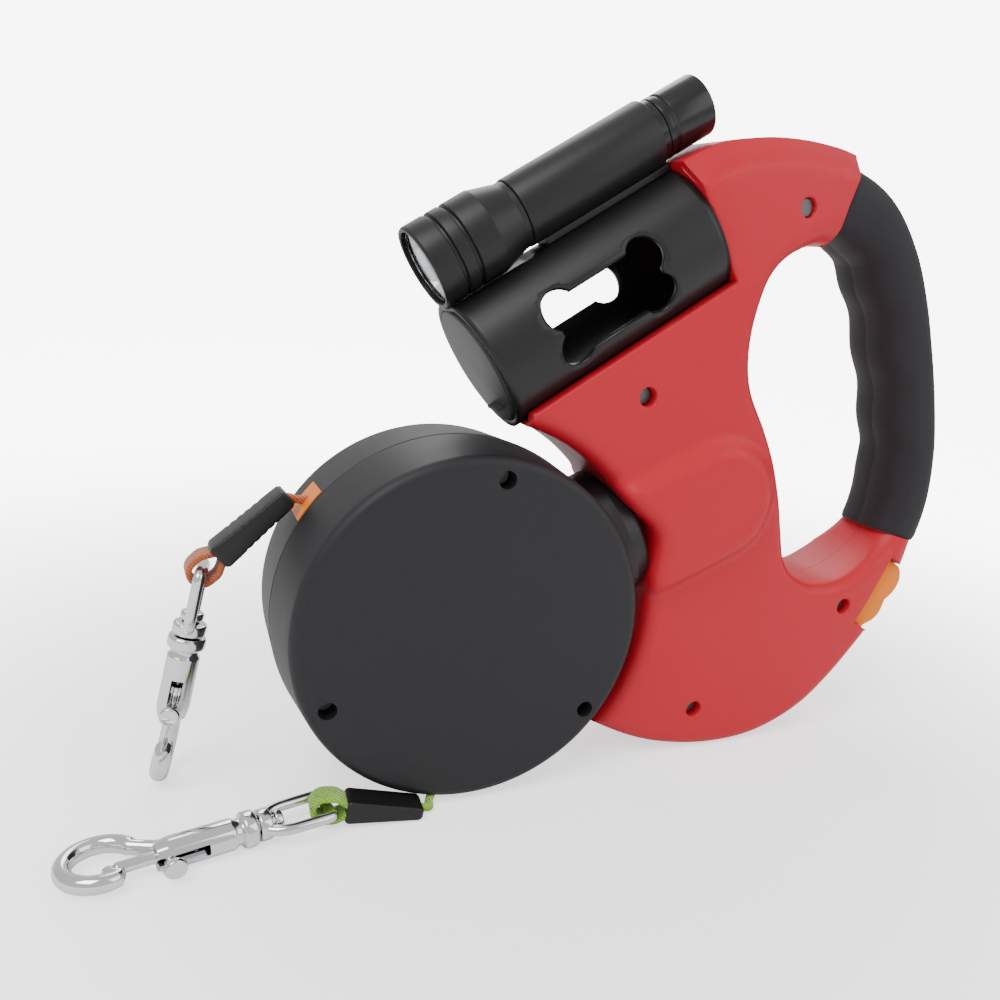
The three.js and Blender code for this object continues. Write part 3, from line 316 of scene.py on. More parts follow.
def bands(rows, n, closed_path=False):
    """Quads from each ring of n points to the next, and back to the first ring on a closed path."""
    faces = []
    for k in range(rows if closed_path else rows - 1):
        near, far = k * n, (k + 1) % rows * n
        for i in range(n):
            j = (i + 1) % n
            faces.append((near + i, near + j, far + j, far + i))
    return faces


def caps(rows, n):
    """The two faces that close the ends of a row of rings."""
    last = (rows - 1) * n
    return [tuple(range(n)), tuple(last + i for i in reversed(range(n)))]


def turned(profile, along, segments=128):
    """Points and faces of a [radius, place] outline turned about local x or y."""
    points = []
    for r, place in profile:
        for i in range(segments):
            a = 2 * pi * i / segments
            c, s = r * cos(a), r * sin(a)
            points.append((place, c, s) if along == "x" else (c, place, s))
    return points, bands(len(profile), segments)


def shift(points, x=0.0, y=0.0, z=0.0):
    return [(p[0] + x, p[1] + y, p[2] + z) for p in points]


def joined(*parts):
    """Several (points, faces) lists as one."""
    points, faces = [], []
    for more_points, more_faces in parts:
        base = len(points)
        points += [tuple(p) for p in more_points]
        faces += [tuple(base + i for i in f) for f in more_faces]
    return points, faces


def swept(path, section, up=(0, 1, 0), closed_path=False):
    """A (side, up) section carried along 3-D points. It may be a function of the share of the path."""
    path = [Vector(p) for p in path]
    count = len(path)
    rings = [section(k / (count - 1)) if callable(section) else section for k in range(count)]
    points = []
    for k, (p, ring) in enumerate(zip(path, rings)):
        if closed_path:
            ahead = path[(k + 1) % count] - path[k - 1]
        else:
            ahead = path[min(k + 1, count - 1)] - path[max(k - 1, 0)]
        ahead.normalize()
        side = ahead.cross(Vector(up)).normalized()
        over = side.cross(ahead).normalized()
        points += [tuple(p + side * a + over * b) for a, b in ring]
    faces = bands(count, len(rings[0]), closed_path)
    if not closed_path:
        faces += caps(count, len(rings[0]))
    return points, faces


def circle(r, n=24, squash=1.0):
    return [(r * cos(2 * pi * i / n), squash * r * sin(2 * pi * i / n)) for i in range(n)]


def ring_at(x, z, r, count):
    """A flat ring of points, counter-clockwise."""
    turns = np.linspace(0, 2 * pi, count, False)
    return np.array([(x + r * cos(a), z + r * sin(a)) for a in turns])


def rounded_box(half_x, half_y, r, n=5):
    """A rectangular section with rounded corners."""
    out = []
    for cx, cy, start in ((1, 1, 0), (-1, 1, 90), (-1, -1, 180), (1, -1, 270)):
        for k in range(n + 1):
            a = radians(start + 90 * k / n)
            out.append((cx * (half_x - r) + r * cos(a), cy * (half_y - r) + r * sin(a)))
    return out


def catmull(points, steps=14):
    """An open Catmull-Rom curve through the points."""
    p = [np.array(q, float) for q in points]
    out = []
    for i in range(len(p) - 1):
        a, b, c, d = p[max(i - 1, 0)], p[i], p[i + 1], p[min(i + 2, len(p) - 1)]
        for k in range(steps):
            t = k / steps
            v0, v1 = (c - a) / 2, (d - b) / 2
            out.append((2 * b - 2 * c + v0 + v1) * t**3 + (-3 * b + 3 * c - 2 * v0 - v1) * t**2 + v0 * t + b)
    return out + [p[-1]]


# ---------- red body ----------
TOP_CURVE = [(TUBE_REAR + FIT_GAP, 79.9), (134.7, 78.8), (146, 75), (157, 70), (169.5, 62.5), (181, 53),
             (188.5, 41)]
REAR_CURVE = [(193, 27), (194.8, 12), (193.9, -2), (191.3, -19), (187, -36.5), (181.5, -54.5),
              (174, -69.5), (163.5, -79), (150, -86.9)]
HAND_CURVE = [(170.6, 21.6), (165, 28.4), (156, 36.5), (144.5, 40), (134, 38), (125, 30.5), (118, 20.5),
              (114.6, 10), (114.4, -4), (113.4, -16), (110.6, -29), (107, -40.5), (104.2, -50.5),
              (105.3, -59), (110.4, -67), (119.5, -72.6), (130, -74.4), (141, -73.2), (150, -69.4),
              (157.5, -59)]
LOWER_CURVE = [(122.6, -101.3), (106, -106.5), (90, -109.4), (75, -108.2), (61.5, -103.7), (47, -94.7),
               (34.5, -83.3), (25.5, -72)]
UPPER_CUT = (np.array((146, 24.5)), np.array((200, 69.9)))   # where the red ends against the grip
LOWER_CUT = (np.array((133, -55.1)), np.array((179, -104.2)))
EDGE_R = {"crown": 2.6, "hand": 4.6, "rim": 4.6, "reel": 5.0, "ledge": 0.8, "wall": 1.2, "cut": 0.5,
          "slot": 0.8}


def side_of(cut, p):
    d = cut[1] - cut[0]
    return d[0] * (p[1] - cut[0][1]) - d[1] * (p[0] - cut[0][0])


def crossing(points, cut):
    """Index after which the polyline crosses the cut, and the crossing point."""
    for i in range(len(points) - 1):
        a, b = side_of(cut, points[i]), side_of(cut, points[i + 1])
        if a * b < 0:
            return i, points[i] + (points[i + 1] - points[i]) * (a / (a - b))
    raise ValueError("the outline does not meet the cut")


def button_edge(along, out):
    return BUTTON_MID + EDGE * along + OUT * out


def polar(r, a):
    return np.array((cos(a), sin(a))) * r


def reel_side():
    """The hollow side that faces the reel, with a notch for the neck."""
    top = asin(LEDGE_Z / CLEAR_R) - REEL_SIDE_GAP
    out = []
    for a in np.linspace(REEL_SIDE_LOW, top, 110)[1:]:
        across = CLEAR_R * sin(a + SWIVEL_DROP)
        share = min(abs(across) / NOTCH_HALF, 1)
        out.append(polar(CLEAR_R + NOTCH_DEPTH * (0.5 + 0.5 * cos(pi * share)), a))
    return out


def red_outline():
    """The red body's rim as (point, kind), where kind says how the edge is finished."""
    outer, hand = catmull(TOP_CURVE + REAR_CURVE), catmull(HAND_CURVE)
    lower_half, last_third = len(outer) // 2, len(hand) * 2 // 3
    crown_at, crown_end = crossing(outer, UPPER_CUT)
    rear_at, rear_start = crossing(outer[lower_half:], LOWER_CUT)
    hand_at, hand_start = crossing(hand, UPPER_CUT)
    heel_at, hand_end = crossing(hand[last_third:], LOWER_CUT)
    half = BUTTON_HALF + FIT_GAP
    parts = [
        ([np.array((LEDGE_START, LEDGE_Z)), np.array((TUBE_REAR + FIT_GAP, LEDGE_Z))], "ledge"),
        ([np.array(TOP_CURVE[0])], "wall"),
        (outer[1:crown_at + 1], "crown"),
        ([crown_end, hand_start], "cut"),
        (hand[hand_at + 1:last_third + heel_at + 1], "hand"),
        ([hand_end, rear_start], "cut"),
        (outer[lower_half + rear_at + 1:], "rim"),
        ([button_edge(-half, 0)], "rim"),
        ([button_edge(-half, -BUTTON_SLOT), button_edge(half, -BUTTON_SLOT), button_edge(half, 0)], "slot"),
        (catmull(LOWER_CURVE + [polar(CLEAR_R, REEL_SIDE_LOW)]), "rim"),
        (reel_side(), "reel"),
    ]
    points, kinds = [], []
    for group, kind in parts:
        for p in group:
            if not points or np.linalg.norm(p - points[-1]) >= 0.05:
                points.append(np.array(p, float))
                kinds.append(kind)
    return points, kinds


def resampled(points, kinds, step):
    """The same rim with points no further apart than about the step."""
    out, tags = [], []
    for i, p in enumerate(points):
        j = (i + 1) % len(points)
        n = max(1, int(np.linalg.norm(points[j] - p) / step + 0.5))
        for k in range(n):
            out.append(p + (points[j] - p) * k / n)
            tags.append(kinds[j] if k else kinds[i])
    return np.array(out), tags


def distance_to(points, segments):
    """Distance from each point to the nearest of the segments [(a, b), ...]."""
    a = np.array([s[0] for s in segments])
    d = np.array([s[1] for s in segments]) - a
    best = np.full(len(points), 1e9)
    for chunk in range(0, len(points), 2000):
        p = points[chunk:chunk + 2000, None, :] - a[None]
        t = np.clip((p * d).sum(2) / np.maximum((d * d).sum(1), 1e-12), 0, 1)
        gap = np.linalg.norm(p - t[..., None] * d, axis=2)
        best[chunk:chunk + 2000] = gap.min(1)
    return best


def is_inside(points, loop):
    x, y = points[:, 0], points[:, 1]
    inside = np.zeros(len(points), bool)
    for i in range(len(loop)):
        (x1, y1), (x2, y2) = loop[i - 1], loop[i]
        if y1 == y2:
            continue
        hit = ((y1 > y) != (y2 > y)) & (x < (x2 - x1) * (y - y1) / (y2 - y1) + x1)
        inside ^= hit
    return inside


def fillet_drop(d, r):
    """How far a rounded edge of radius r has fallen at distance d from the rim."""
    reach = np.clip(d, 0, r)
    return r - np.sqrt(np.maximum(r * r - (r - reach) ** 2, 0))


def smooth_max(a, b, k):
    h = np.clip(0.5 + 0.5 * (a - b) / k, 0, 1)
    return b * (1 - h) + a * h + k * h * (1 - h)


def triangulated(loops, inner_points):
    """Triangles between an outer loop and its holes, through the given inner points."""
    verts, edges = [], []
    for loop in loops:
        base = len(verts)
        verts += [Vector(p) for p in loop]
        edges += [(base + i, base + (i + 1) % len(loop)) for i in range(len(loop))]
    verts += [Vector(p) for p in inner_points]
    out, _, faces, _, _, _ = delaunay_2d_cdt(verts, edges, [], 0, 1e-5)
    flat = np.array([(v.x, v.y) for v in out])
    mid = np.array([flat[list(f)].mean(0) for f in faces])
    keep = is_inside(mid, np.array(loops[0]))
    for hole in loops[1:]:
        keep &= ~is_inside(mid, np.array(hole))
    return flat, [tuple(f) for f, k in zip(faces, keep) if k]


def offset_row(loop, reach):
    """The loop's points moved inwards, each by its own reach."""
    ahead = np.roll(loop, -1, 0) - np.roll(loop, 1, 0)
    ahead /= np.linalg.norm(ahead, axis=1)[:, None]
    area = np.sum(loop[:, 0] * np.roll(loop[:, 1], -1) - np.roll(loop[:, 0], -1) * loop[:, 1])
    inward = np.stack([-ahead[:, 1], ahead[:, 0]], 1) * (1 if area > 0 else -1)
    return loop + inward * reach


def edge_segments(rim, kinds):
    """The rim's segments by kind. One between two kinds takes the smaller radius."""
    segments = {}
    for i in range(len(rim)):
        j = (i + 1) % len(rim)
        segments.setdefault(min(kinds[i], kinds[j], key=EDGE_R.get), []).append((rim[i], rim[j]))
    return segments


def face_points(rim, kinds, holes, every):
    """Points for the face: rows along each fillet, rings round the wells and a lattice between them."""
    radii = np.array([EDGE_R[k] for k in kinds])[:, None]
    rows = []
    for angle in np.radians(range(12, 97, 12)):
        reach = radii * (1 - cos(angle) if angle < pi / 2 else 1.15)
        row = offset_row(rim, reach)
        rows.append(row[(distance_to(row, every) > reach[:, 0] * 0.93) & is_inside(row, rim)])
    for hole in holes:
        centre = hole.mean(0)
        rows += [centre + (hole - centre) * grow for grow in (1.08, 1.2, 1.45)]
    xs, zs = np.meshgrid(np.arange(20, 200, LATTICE_STEP), np.arange(-112, 86, LATTICE_STEP))
    stagger = np.arange(xs.size) % 2 * 0.3
    lattice = np.stack([xs.ravel(), zs.ravel() + stagger], 1)
    lattice = lattice[is_inside(lattice, rim)]
    inner = np.concatenate(rows + [lattice[distance_to(lattice, every) > LATTICE_GAP]])
    for hole in holes:
        inner = inner[np.linalg.norm(inner - hole.mean(0), axis=1) > WELL_R + 0.15]
    return np.unique(np.round(inner, 2), axis=0)


def shell_surface():
    """The red body's front face: rim, edge kinds, wells, flat positions, triangles and heights."""
    rim, kinds = resampled(*red_outline(), RIM_STEP)
    holes = [ring_at(x, z, WELL_R, 28) for x, z in BODY_SCREWS]
    segments = edge_segments(rim, kinds)
    every = [s for group in segments.values() for s in group]
    flat, faces = triangulated([rim] + holes, face_points(rim, kinds, holes, every))
    return rim, kinds, holes, flat, faces, body_height(flat, segments, holes)


def body_height(flat, segments, holes):
    """Height of the face over the mid plane: a plate, thinner at the grip, with its edges eased."""
    x, z = flat[:, 0], flat[:, 1]
    thick = BODY_T + (GRIP_T - BODY_T) * np.clip((x - THIN_FROM) / THIN_RAMP, 0, 1)
    fall = np.zeros(len(flat))
    for kind, group in segments.items():
        fall = np.maximum(fall, fillet_drop(distance_to(flat, group), EDGE_R[kind]))
    crown_gap = distance_to(flat, segments["crown"])
    facet = np.clip(CHAMFER - crown_gap, 0, CHAMFER) * np.clip((z - CHAMFER_FROM) / CHAMFER_RAMP, 0, 1)
    fall = np.where(facet > 0.01, smooth_max(fall, facet, 0.8), fall)
    rim_gap = np.minimum(distance_to(flat, segments["rim"]), distance_to(flat, segments["hand"]))
    soft = SOFT_R * np.clip(1 - distance_to(flat, segments["cut"]) / SOFT_REACH, 0, 1)
    near_grip = fillet_drop(rim_gap, np.maximum(soft, 0.1))
    fall = np.maximum(fall, np.where(soft > EDGE_R["rim"], near_grip, 0))
    for hole in holes:
        ring_gap = np.linalg.norm(flat - hole.mean(0), axis=1) - WELL_R
        fall = np.maximum(fall, fillet_drop(ring_gap, 0.5))
    return thick - fall + boss_rise(x, z)


def boss_rise(x, z):
    """The raised boss over the swivel's housing: straight sides along the swivel axis and a round end."""
    c, s = cos(SWIVEL_DROP), sin(SWIVEL_DROP)
    along, across = x * c - z * s, x * s + z * c
    inside = BOSS_HALF - np.hypot(np.maximum(along - BOSS_TURN, 0), across)
    t = np.clip(inside / BOSS_EDGE, 0, 1)
    return BOSS_RISE * t * t * (3 - 2 * t)


def shell_half(surface, sign):
    """One red half as an open sheet: face, rim wall and screw wells. sign -1 is the front."""
    rim, kinds, holes, flat, faces, height = surface
    points = [(x, sign * y, z) for (x, z), y in zip(flat, height)]
    faces = [tuple(reversed(f)) if sign > 0 else f for f in faces]
    rim_floors = [LEDGE_FLOOR if kind == "ledge" else RIM_FLOOR for kind in kinds]
    for loop, floors in [(rim, rim_floors)] + [(hole, [WELL_FLOOR] * len(hole)) for hole in holes]:
        above = [int(np.argmin(np.hypot(flat[:, 0] - x, flat[:, 1] - z))) for x, z in loop]
        tops, n = height[above], len(loop)
        for share in (0.34, 0.67, 1.0):
            base = len(points)
            for (x, z), top, floor in zip(loop, tops, floors):
                points.append((x, sign * (top + (min(floor, top) - top) * share), z))
            for k in range(n):
                j = (k + 1) % n
                faces.append((above[k], above[j], base + j, base + k))
            above = range(base, base + n)
    return points, faces


def build_shells():
    surface = shell_surface()
    for name, sign in (("left", -1), ("right", 1)):
        points, faces = shell_half(surface, sign)
        made = piece(f"{name}_shell", points, faces, LEASH, "handle", "red_shell", [f"{name}_body_shell"],
                     SHELL_SHARP)
        thicken(made, SHELL_WALL)
        shade(made.data, SHELL_SHARP)


# ---------- grip ----------
GRIP_BAR = [(158, 54), (171, 43.5), (179.8, 31.5), (183.2, 16), (182.7, 0), (179.8, -18), (176, -35),
            (170.6, -52), (162, -67.5), (150, -78.5), (134, -85.5)]
LEAN_ROWS = 6


def cut_lean(k, rows, ahead, outward):
    """How far a ring near an end leans along the bar, so that the grip ends flush with its cut."""
    near = 1 - min(k, rows - 1 - k) / LEAN_ROWS
    if near <= 0:
        return 0.0
    cut = UPPER_CUT if k < LEAN_ROWS else LOWER_CUT
    d = (cut[1] - cut[0]) / np.linalg.norm(cut[1] - cut[0])
    d = d if d @ outward > 0 else -d
    return near * (d @ ahead) / (d @ outward)


def grip_path():
    path = catmull(GRIP_BAR, 24)
    first, start = crossing(path, UPPER_CUT)
    last, end = crossing(path[first + 4:], LOWER_CUT)
    return [start] + path[first + 2:first + 3 + last] + [end]


def build_grip():
    """Each half is a row of half rings that are fuller than a half circle would be."""
    path = grip_path()
    n, rows = 40, len(path)
    for name, sign in (("left", -1), ("right", 1)):
        points = []
        for k, p in enumerate(path):
            ahead = path[min(k + 1, rows - 1)] - path[max(k - 1, 0)]
            ahead = ahead / np.linalg.norm(ahead)
            outward = np.array((-ahead[1], ahead[0]))
            lean = cut_lean(k, rows, ahead, outward)
            pinch = 0.35 * max(0.0, 1 - 2.5 * min(k, rows - 1 - k))
            wave = finger_swell(k / (rows - 1))
            for i in range(n + 1):
                a = radians(90 + 180 * i / n)
                deep = abs(cos(a)) ** 0.8 * (GRIP_T - pinch)
                wide = copysign(abs(sin(a)) ** 0.8, sin(a)) * (GRIP_WIDE - pinch)
                if wide < 0:
                    wide += wave * min(1, abs(wide) / 8)
                groove = 0.25 if i in (0, n) else 0.0
                q = p + outward * (wide - copysign(groove, wide)) + ahead * lean * wide
                points.append((q[0], sign * max(deep, 0.05), q[1]))
        faces = bands(rows, n + 1) + caps(rows, n + 1)
        piece(f"{name}_grip", points, faces, LEASH, "handle", "grip_rubber", [f"{name}_grip_pad"], 60)


def finger_swell(t):
    """Shallow finger grooves on the hand side: how far the surface is drawn in."""
    inside = max(0.0, min(1.0, (t - 0.12) / 0.1)) * max(0.0, min(1.0, (0.86 - t) / 0.1))
    return 1.5 * inside * (0.5 - 0.5 * cos(2 * pi * (t - 0.12) / 0.185))


# ---------- bag tube, cap and torch ----------
def bone_outline():
    """Bone-shaped window as (x, z) points on the tube's side, counter-clockwise."""
    mid, reach_x, reach_z, lobe, half = np.array((82, TUBE_Z + 0.8)), 14.4, 5.7, 5.7, 5.0
    arcs = [((1, 1), -58, 147), ((-1, 1), 33, 238), ((-1, -1), 122, 327), ((1, -1), 213, 418)]
    keep = []
    for (sx, sz), a, b in arcs:
        for t in np.linspace(radians(a), radians(b), 26):
            rel = np.array((sx * reach_x + lobe * cos(t), sz * reach_z + lobe * sin(t)))
            if abs(rel[0]) < reach_x - lobe * 0.35:
                rel[1] = copysign(max(abs(rel[1]), half if rel[1] < 0 else half + 0.6), rel[1])
            if not keep or np.linalg.norm(mid + rel - keep[-1]) > 0.28:
                keep.append(mid + rel)
    return keep


def unrolled_windows(around):
    """The bone window on both sides of the tube, laid out flat as (x, way round) points."""
    rises = [(x, asin(np.clip((z - TUBE_Z) / TUBE_R, -1, 1)) * TUBE_R) for x, z in bone_outline()]
    return [np.array([(x, around * 0.25 + rise) for x, rise in rises]),
            np.array([(x, around * 0.75 - rise) for x, rise in rises])]


def build_tube():
    """The wall is laid out flat, cut, and rolled up."""
    around = 2 * pi * TUBE_R
    windows = unrolled_windows(around)
    outer = [(x, 0.0) for x in np.linspace(TUBE_FRONT, TUBE_REAR, 40)]
    outer += [(TUBE_REAR, v) for v in np.linspace(0, around, 120)[1:]]
    outer += [(x, around) for x in np.linspace(TUBE_REAR, TUBE_FRONT, 40)[1:]]
    outer += [(TUBE_FRONT, v) for v in np.linspace(around, 0, 120)[1:-1]]
    xs, vs = np.meshgrid(np.linspace(TUBE_FRONT, TUBE_REAR, 40)[1:-1], np.linspace(0, around, 120)[1:-1])
    inner = np.stack([xs.ravel(), vs.ravel()], 1)
    for loop in windows:
        inner = inner[~is_inside(inner, loop)]
        inner = inner[distance_to(inner, [(loop[i - 1], loop[i]) for i in range(len(loop))]) > 0.7]
    flat, faces = triangulated([np.array(outer)] + windows, inner)
    points = []
    for x, v in flat:
        a = v / TUBE_R - pi / 2          # 0 at the front side, turning up
        y, z = -TUBE_R * cos(a), TUBE_Z + TUBE_R * sin(a)
        if x < SLEEVE_FRONT and abs(y) < TORCH_R:
            z = min(z, TORCH_Z - sqrt((TORCH_R + 0.35) ** 2 - y * y))
        points.append((x, y, z))
    made = piece("tube", points, faces, LEASH, "handle", "black_plastic", ["bag_tube"], 40)
    thicken(made, TUBE_WALL - 0.15)


def build_cap():
    face, inside, lip = TUBE_FRONT - 0.7, TUBE_FRONT + 1.2, TUBE_FRONT + 6
    skirt = TUBE_R - TUBE_WALL - 0.35
    outline = rounded([(0, face), (skirt + 0.1, face), (skirt + 0.1, lip), (skirt - 1.6, lip),
                       (skirt - 1.6, inside), (0, inside)], {1: 0.8, 2: 0.3})
    points, faces = turned(outline, "x")
    tab_x, tab_z = face - 0.9, TUBE_Z - 11.9
    tab = swept([(tab_x, -7, tab_z), (tab_x, 1, tab_z)], rounded_box(1.3, 0.5, 0.2), (0, 0, 1))
    points, faces = joined((shift(points, z=TUBE_Z), faces), tab)
    piece("cap", points, faces, LEASH, "tube_cap", "cap_grey", ["bag_tube_cap"])


def torch_part(name, outline, radii, body, slot, nodes):
    points, faces = turned(rounded(outline, radii), "x")
    piece(name, shift(points, z=TORCH_Z), faces, LEASH, body, slot, nodes, 32)


def build_torch_head():
    r, groove, front, rear, bore = TORCH_R, TORCH_R - 0.75, TORCH_FRONT, SLEEVE_FRONT - 0.3, 7.3
    head = [(r - 1.3, front + 0.2), (r - 1.0, front), (r - 0.35, front), (r, front + 0.7),
            (r, 49.6), (groove, 50.0), (groove, 50.7), (r, 51.1),
            (r, 54.4), (groove, 54.8), (groove, 55.5), (r, 55.9),
            (r, 63.2), (9.4, rear - 1.6), (9.3, rear), (bore, rear), (bore, 62.5), (r - 1.3, 61),
            (r - 1.3, front + 0.2)]
    radii = {3: 0.4, 4: 0.2, 7: 0.2, 8: 0.2, 11: 0.2, 12: 2.0, 13: 1.2}
    torch_part("torch_front", head, radii, "torch", "black_plastic", ["torch_head"])


def build_cradle():
    """The sleeve that holds the torch, on a saddle over the bag tube."""
    bore = BARREL_R + 0.3
    sleeve = [(bore, SLEEVE_FRONT), (SLEEVE_R, SLEEVE_FRONT), (SLEEVE_R, SLEEVE_REAR), (bore, SLEEVE_REAR),
              (bore, SLEEVE_FRONT)]
    points, faces = turned(rounded(sleeve, {1: 0.5, 2: 0.7}), "x")
    low_z, high_z = TUBE_Z + TUBE_R - 0.35, TORCH_Z - SLEEVE_R + 0.8
    mid_z, half_z = (low_z + high_z) / 2, (high_z - low_z) / 2
    saddle = swept([(SLEEVE_FRONT + 4, 0, mid_z), (SLEEVE_REAR + 1, 0, mid_z)],
                   rounded_box(4.2, half_z, 0.3), (0, 0, 1))
    points, faces = joined((shift(points, z=TORCH_Z), faces), saddle)
    piece("cradle", points, faces, LEASH, "handle", "black_plastic", ["torch_cradle"])


def build_torch_barrel():
    b, wide, groove, end = BARREL_R, BARREL_R + 0.1, BARREL_R - 0.3, TAIL_END
    tail = [(0, 122.3), (wide, 122.3), (wide, 124.2), (groove, 124.6), (groove, 125.2), (wide, 125.6),
            (wide, end), (5, end), (5, end - 4), (0, end - 4)]
    radii = {1: 0.3, 2: 0.2, 5: 0.2, 6: 0.9, 7: 0.3}
    torch_part("torch_tail", tail, radii, "torch", "gloss_black", ["torch_tail_cap"])
    barrel = [(b - 1.6, 64), (7, 64), (7, SLEEVE_FRONT + 1.5), (b, SLEEVE_FRONT + 1.5), (b, 122),
              (b - 1.6, 122), (b - 1.6, 64)]
    torch_part("torch_tube", barrel, {}, "torch", "gloss_black", ["torch_barrel"])


def build_torch_optics():
    inner, hole = TORCH_R - 1.65, 3
    lens = [(0, 44.2), (inner, 44.2), (inner, 45.8), (0, 45.8)]
    torch_part("torch_window", lens, {1: 0.3}, "torch", "lens", ["torch_lens"])
    bowl = [(hole, 56.5)]
    bowl += [(hole + (inner - 3.9) * sqrt(t), 56.5 - 10 * t) for t in np.linspace(0.03, 1, 24)]
    bowl += [(inner, 46.4), (inner, 57.5), (hole, 57.5), (hole, 56.5)]
    torch_part("torch_bowl", bowl, {}, "torch", "chrome", ["torch_reflector"])


def build_torch_switch():
    button = [(0, TAIL_END - 2.4), (4.6, TAIL_END - 2.4), (4.6, TAIL_END - 0.4), (3.6, TAIL_END + 0.2),
              (0, TAIL_END + 0.4)]
    radii = {2: 0.6, 3: 0.8}
    torch_part("torch_push", button, radii, "torch_switch", "grip_rubber", ["torch_tail_button"])


# ---------- reel ----------
def case_sheet(face, sign):
    """One reel half as an open sheet: a filleted side wall and a flat face, with wells in the front half."""
    edge, r, f, n = SEAM + sign * 0.12, REEL_R - CASE_DRAFT, CASE_FILLET, 192
    profile = [(REEL_R - 0.25, edge), (REEL_R, edge + sign * 0.3)]
    profile += [(REEL_R - CASE_DRAFT * t, edge + (face - sign * f - edge) * t) for t in (0.25, 0.5, 0.75)]
    profile += [(r - f + f * cos(a), face - sign * f + sign * f * sin(a))
                for a in np.linspace(0, pi / 2, 9)]
    side = turned(profile, "y", n)
    rim = np.array([(p[0], p[2]) for p in side[0][-n:]])
    wells = []
    for degrees in SCREW_ANGLES if sign < 0 else ():
        x, z = polar(SCREW_RING, radians(degrees))
        wells.append(ring_at(x, z, CASE_WELL_R, 32))
    inner = np.concatenate([ring_at(0, 0, ring, 48) for ring in (12, 24, 36, 43)])
    for well in wells:
        inner = inner[np.linalg.norm(inner - well.mean(0), axis=1) > 3.5]
    flat, disc = triangulated([rim] + wells, inner)
    parts = [side, ([(x, face, z) for x, z in flat], disc)]
    for well in wells:
        rings = [(x, face - sign * depth, z) for depth in (0.0, 0.25, CASE_WELL_DEPTH) for x, z in well]
        parts.append((rings, bands(3, len(well))))
    return joined(*parts)


def rim_insert(degrees, y_mid, half_wide, half_high, rows=14, cols=26):
    """A coloured insert that follows the reel's rim, a hair proud of it."""
    points, faces = [], []
    for lift in (0.35, -2.0):
        for i in range(rows + 1):
            a = radians(degrees) + (i / rows - 0.5) * 2 * half_high / REEL_R
            for k in range(cols + 1):
                points.append(rim_point(a, y_mid - half_wide + 2 * half_wide * k / cols, lift))
    row = cols + 1
    layer = row * (rows + 1)
    for i in range(rows):
        for k in range(cols):
            a = i * row + k
            faces.append((a, a + 1, a + row + 1, a + row))
            faces.append((layer + a, layer + a + row, layer + a + row + 1, layer + a + 1))
    edge = list(range(row)) + [i * row + cols for i in range(1, rows + 1)]
    edge += [rows * row + k for k in reversed(range(cols))] + [i * row for i in reversed(range(1, rows))]
    for k, a in enumerate(edge):
        b = edge[(k + 1) % len(edge)]
        faces.append((a, b, layer + b, layer + a))
    return points, faces


def rim_point(a, y, lift):
    """A point on the reel's side wall or its fillet, lifted off the surface."""
    sign = -1 if y < SEAM else 1
    face = REEL_FRONT if sign < 0 else REEL_BACK
    r, f = REEL_R - CASE_DRAFT, CASE_FILLET
    past = sign * (y - (face - sign * f))
    if past > 0:
        radius = r - f + sqrt(max(f * f - past * past, 0))
    else:
        radius = REEL_R - CASE_DRAFT * (y - SEAM) / (face - sign * f - SEAM)
    radius += lift
    return (radius * cos(a), y, radius * sin(a))


def build_reel():
    for name, face, sign in (("front", REEL_FRONT, -1), ("back", REEL_BACK, 1)):
        points, faces = case_sheet(face, sign)
        made = piece(f"{name}_case", points, faces, LEASH, "reel_head", "reel_plastic",
                     [f"{name}_reel_case"], CASE_SHARP)
        thicken(made, CASE_WALL)
        shade(made.data, CASE_SHARP)
    insert = rim_insert(ORANGE_ANGLE, 6.2, 7.0, 5.2)
    piece("orange_gate", *insert, LEASH, "reel_head", "orange_plastic", ["orange_outlet"])
    insert = rim_insert(GREEN_ANGLE, -13.4, 9.0, 8.0)
    piece("green_gate", *insert, LEASH, "reel_head", "green_plastic", ["green_outlet"])


def build_neck():
    """The flared neck and its stem, with the groove for the retaining clip."""
    neck = [(NECK_BORE, 44), (NECK_R, 44), (NECK_R, 56), (NECK_R - 1.2, NECK_END - 2.2),
            (NECK_R - 5.4, NECK_END - 0.5), (STEM_R, NECK_END), (STEM_R, 93.3), (7.6, 93.3), (7.6, 95.7),
            (STEM_R, 95.7), (STEM_R, STEM_END), (NECK_BORE, STEM_END), (NECK_BORE, 44)]
    points, faces = turned(rounded(neck, {2: 3.0, 3: 2.6, 4: 4.0}), "x", 96)
    piece("neck", points, faces, SWIVEL, "reel_head", "black_plastic", ["swivel_neck"])


# ---------- brake buttons ----------
CREST = [(-BUTTON_HALF, 1.2), (-12.2, 3.2), (-10, 5.0), (-7, 5.75), (-4, 5.5), (-1.5, 4.6), (1, 4.3),
         (4, 4.9), (6.5, 5.1), (9, 4.2), (11.5, 2.2), (BUTTON_HALF, 0.7)]


def build_buttons():
    """Two buttons side by side, each the crest's outline in rows of (height, inset) that round its sides."""
    curve = [button_edge(along, out) for along, out in catmull(CREST, 5)]
    outline = [button_edge(-BUTTON_HALF, -6)] + curve + [button_edge(BUTTON_HALF, -6)]
    centre = np.mean(outline, 0)
    rows = [(0, 0.7), (0.2, 0.25), (0.7, 0.0), (11.6, 0.0), (12.1, 0.25), (12.3, 0.7)]
    for name, low_y in (("orange", -12.6), ("green", 0.3)):
        points = []
        for rise, inset in rows:
            for p in outline:
                pull = (centre - p) / np.linalg.norm(centre - p) * inset
                points.append((p[0] + pull[0], low_y + rise, p[1] + pull[1]))
        faces = bands(len(rows), len(outline)) + caps(len(rows), len(outline))
        piece(f"{name}_push", points, faces, LEASH, f"{name}_button", f"{name}_plastic",
              [f"{name}_brake_button"], 40)


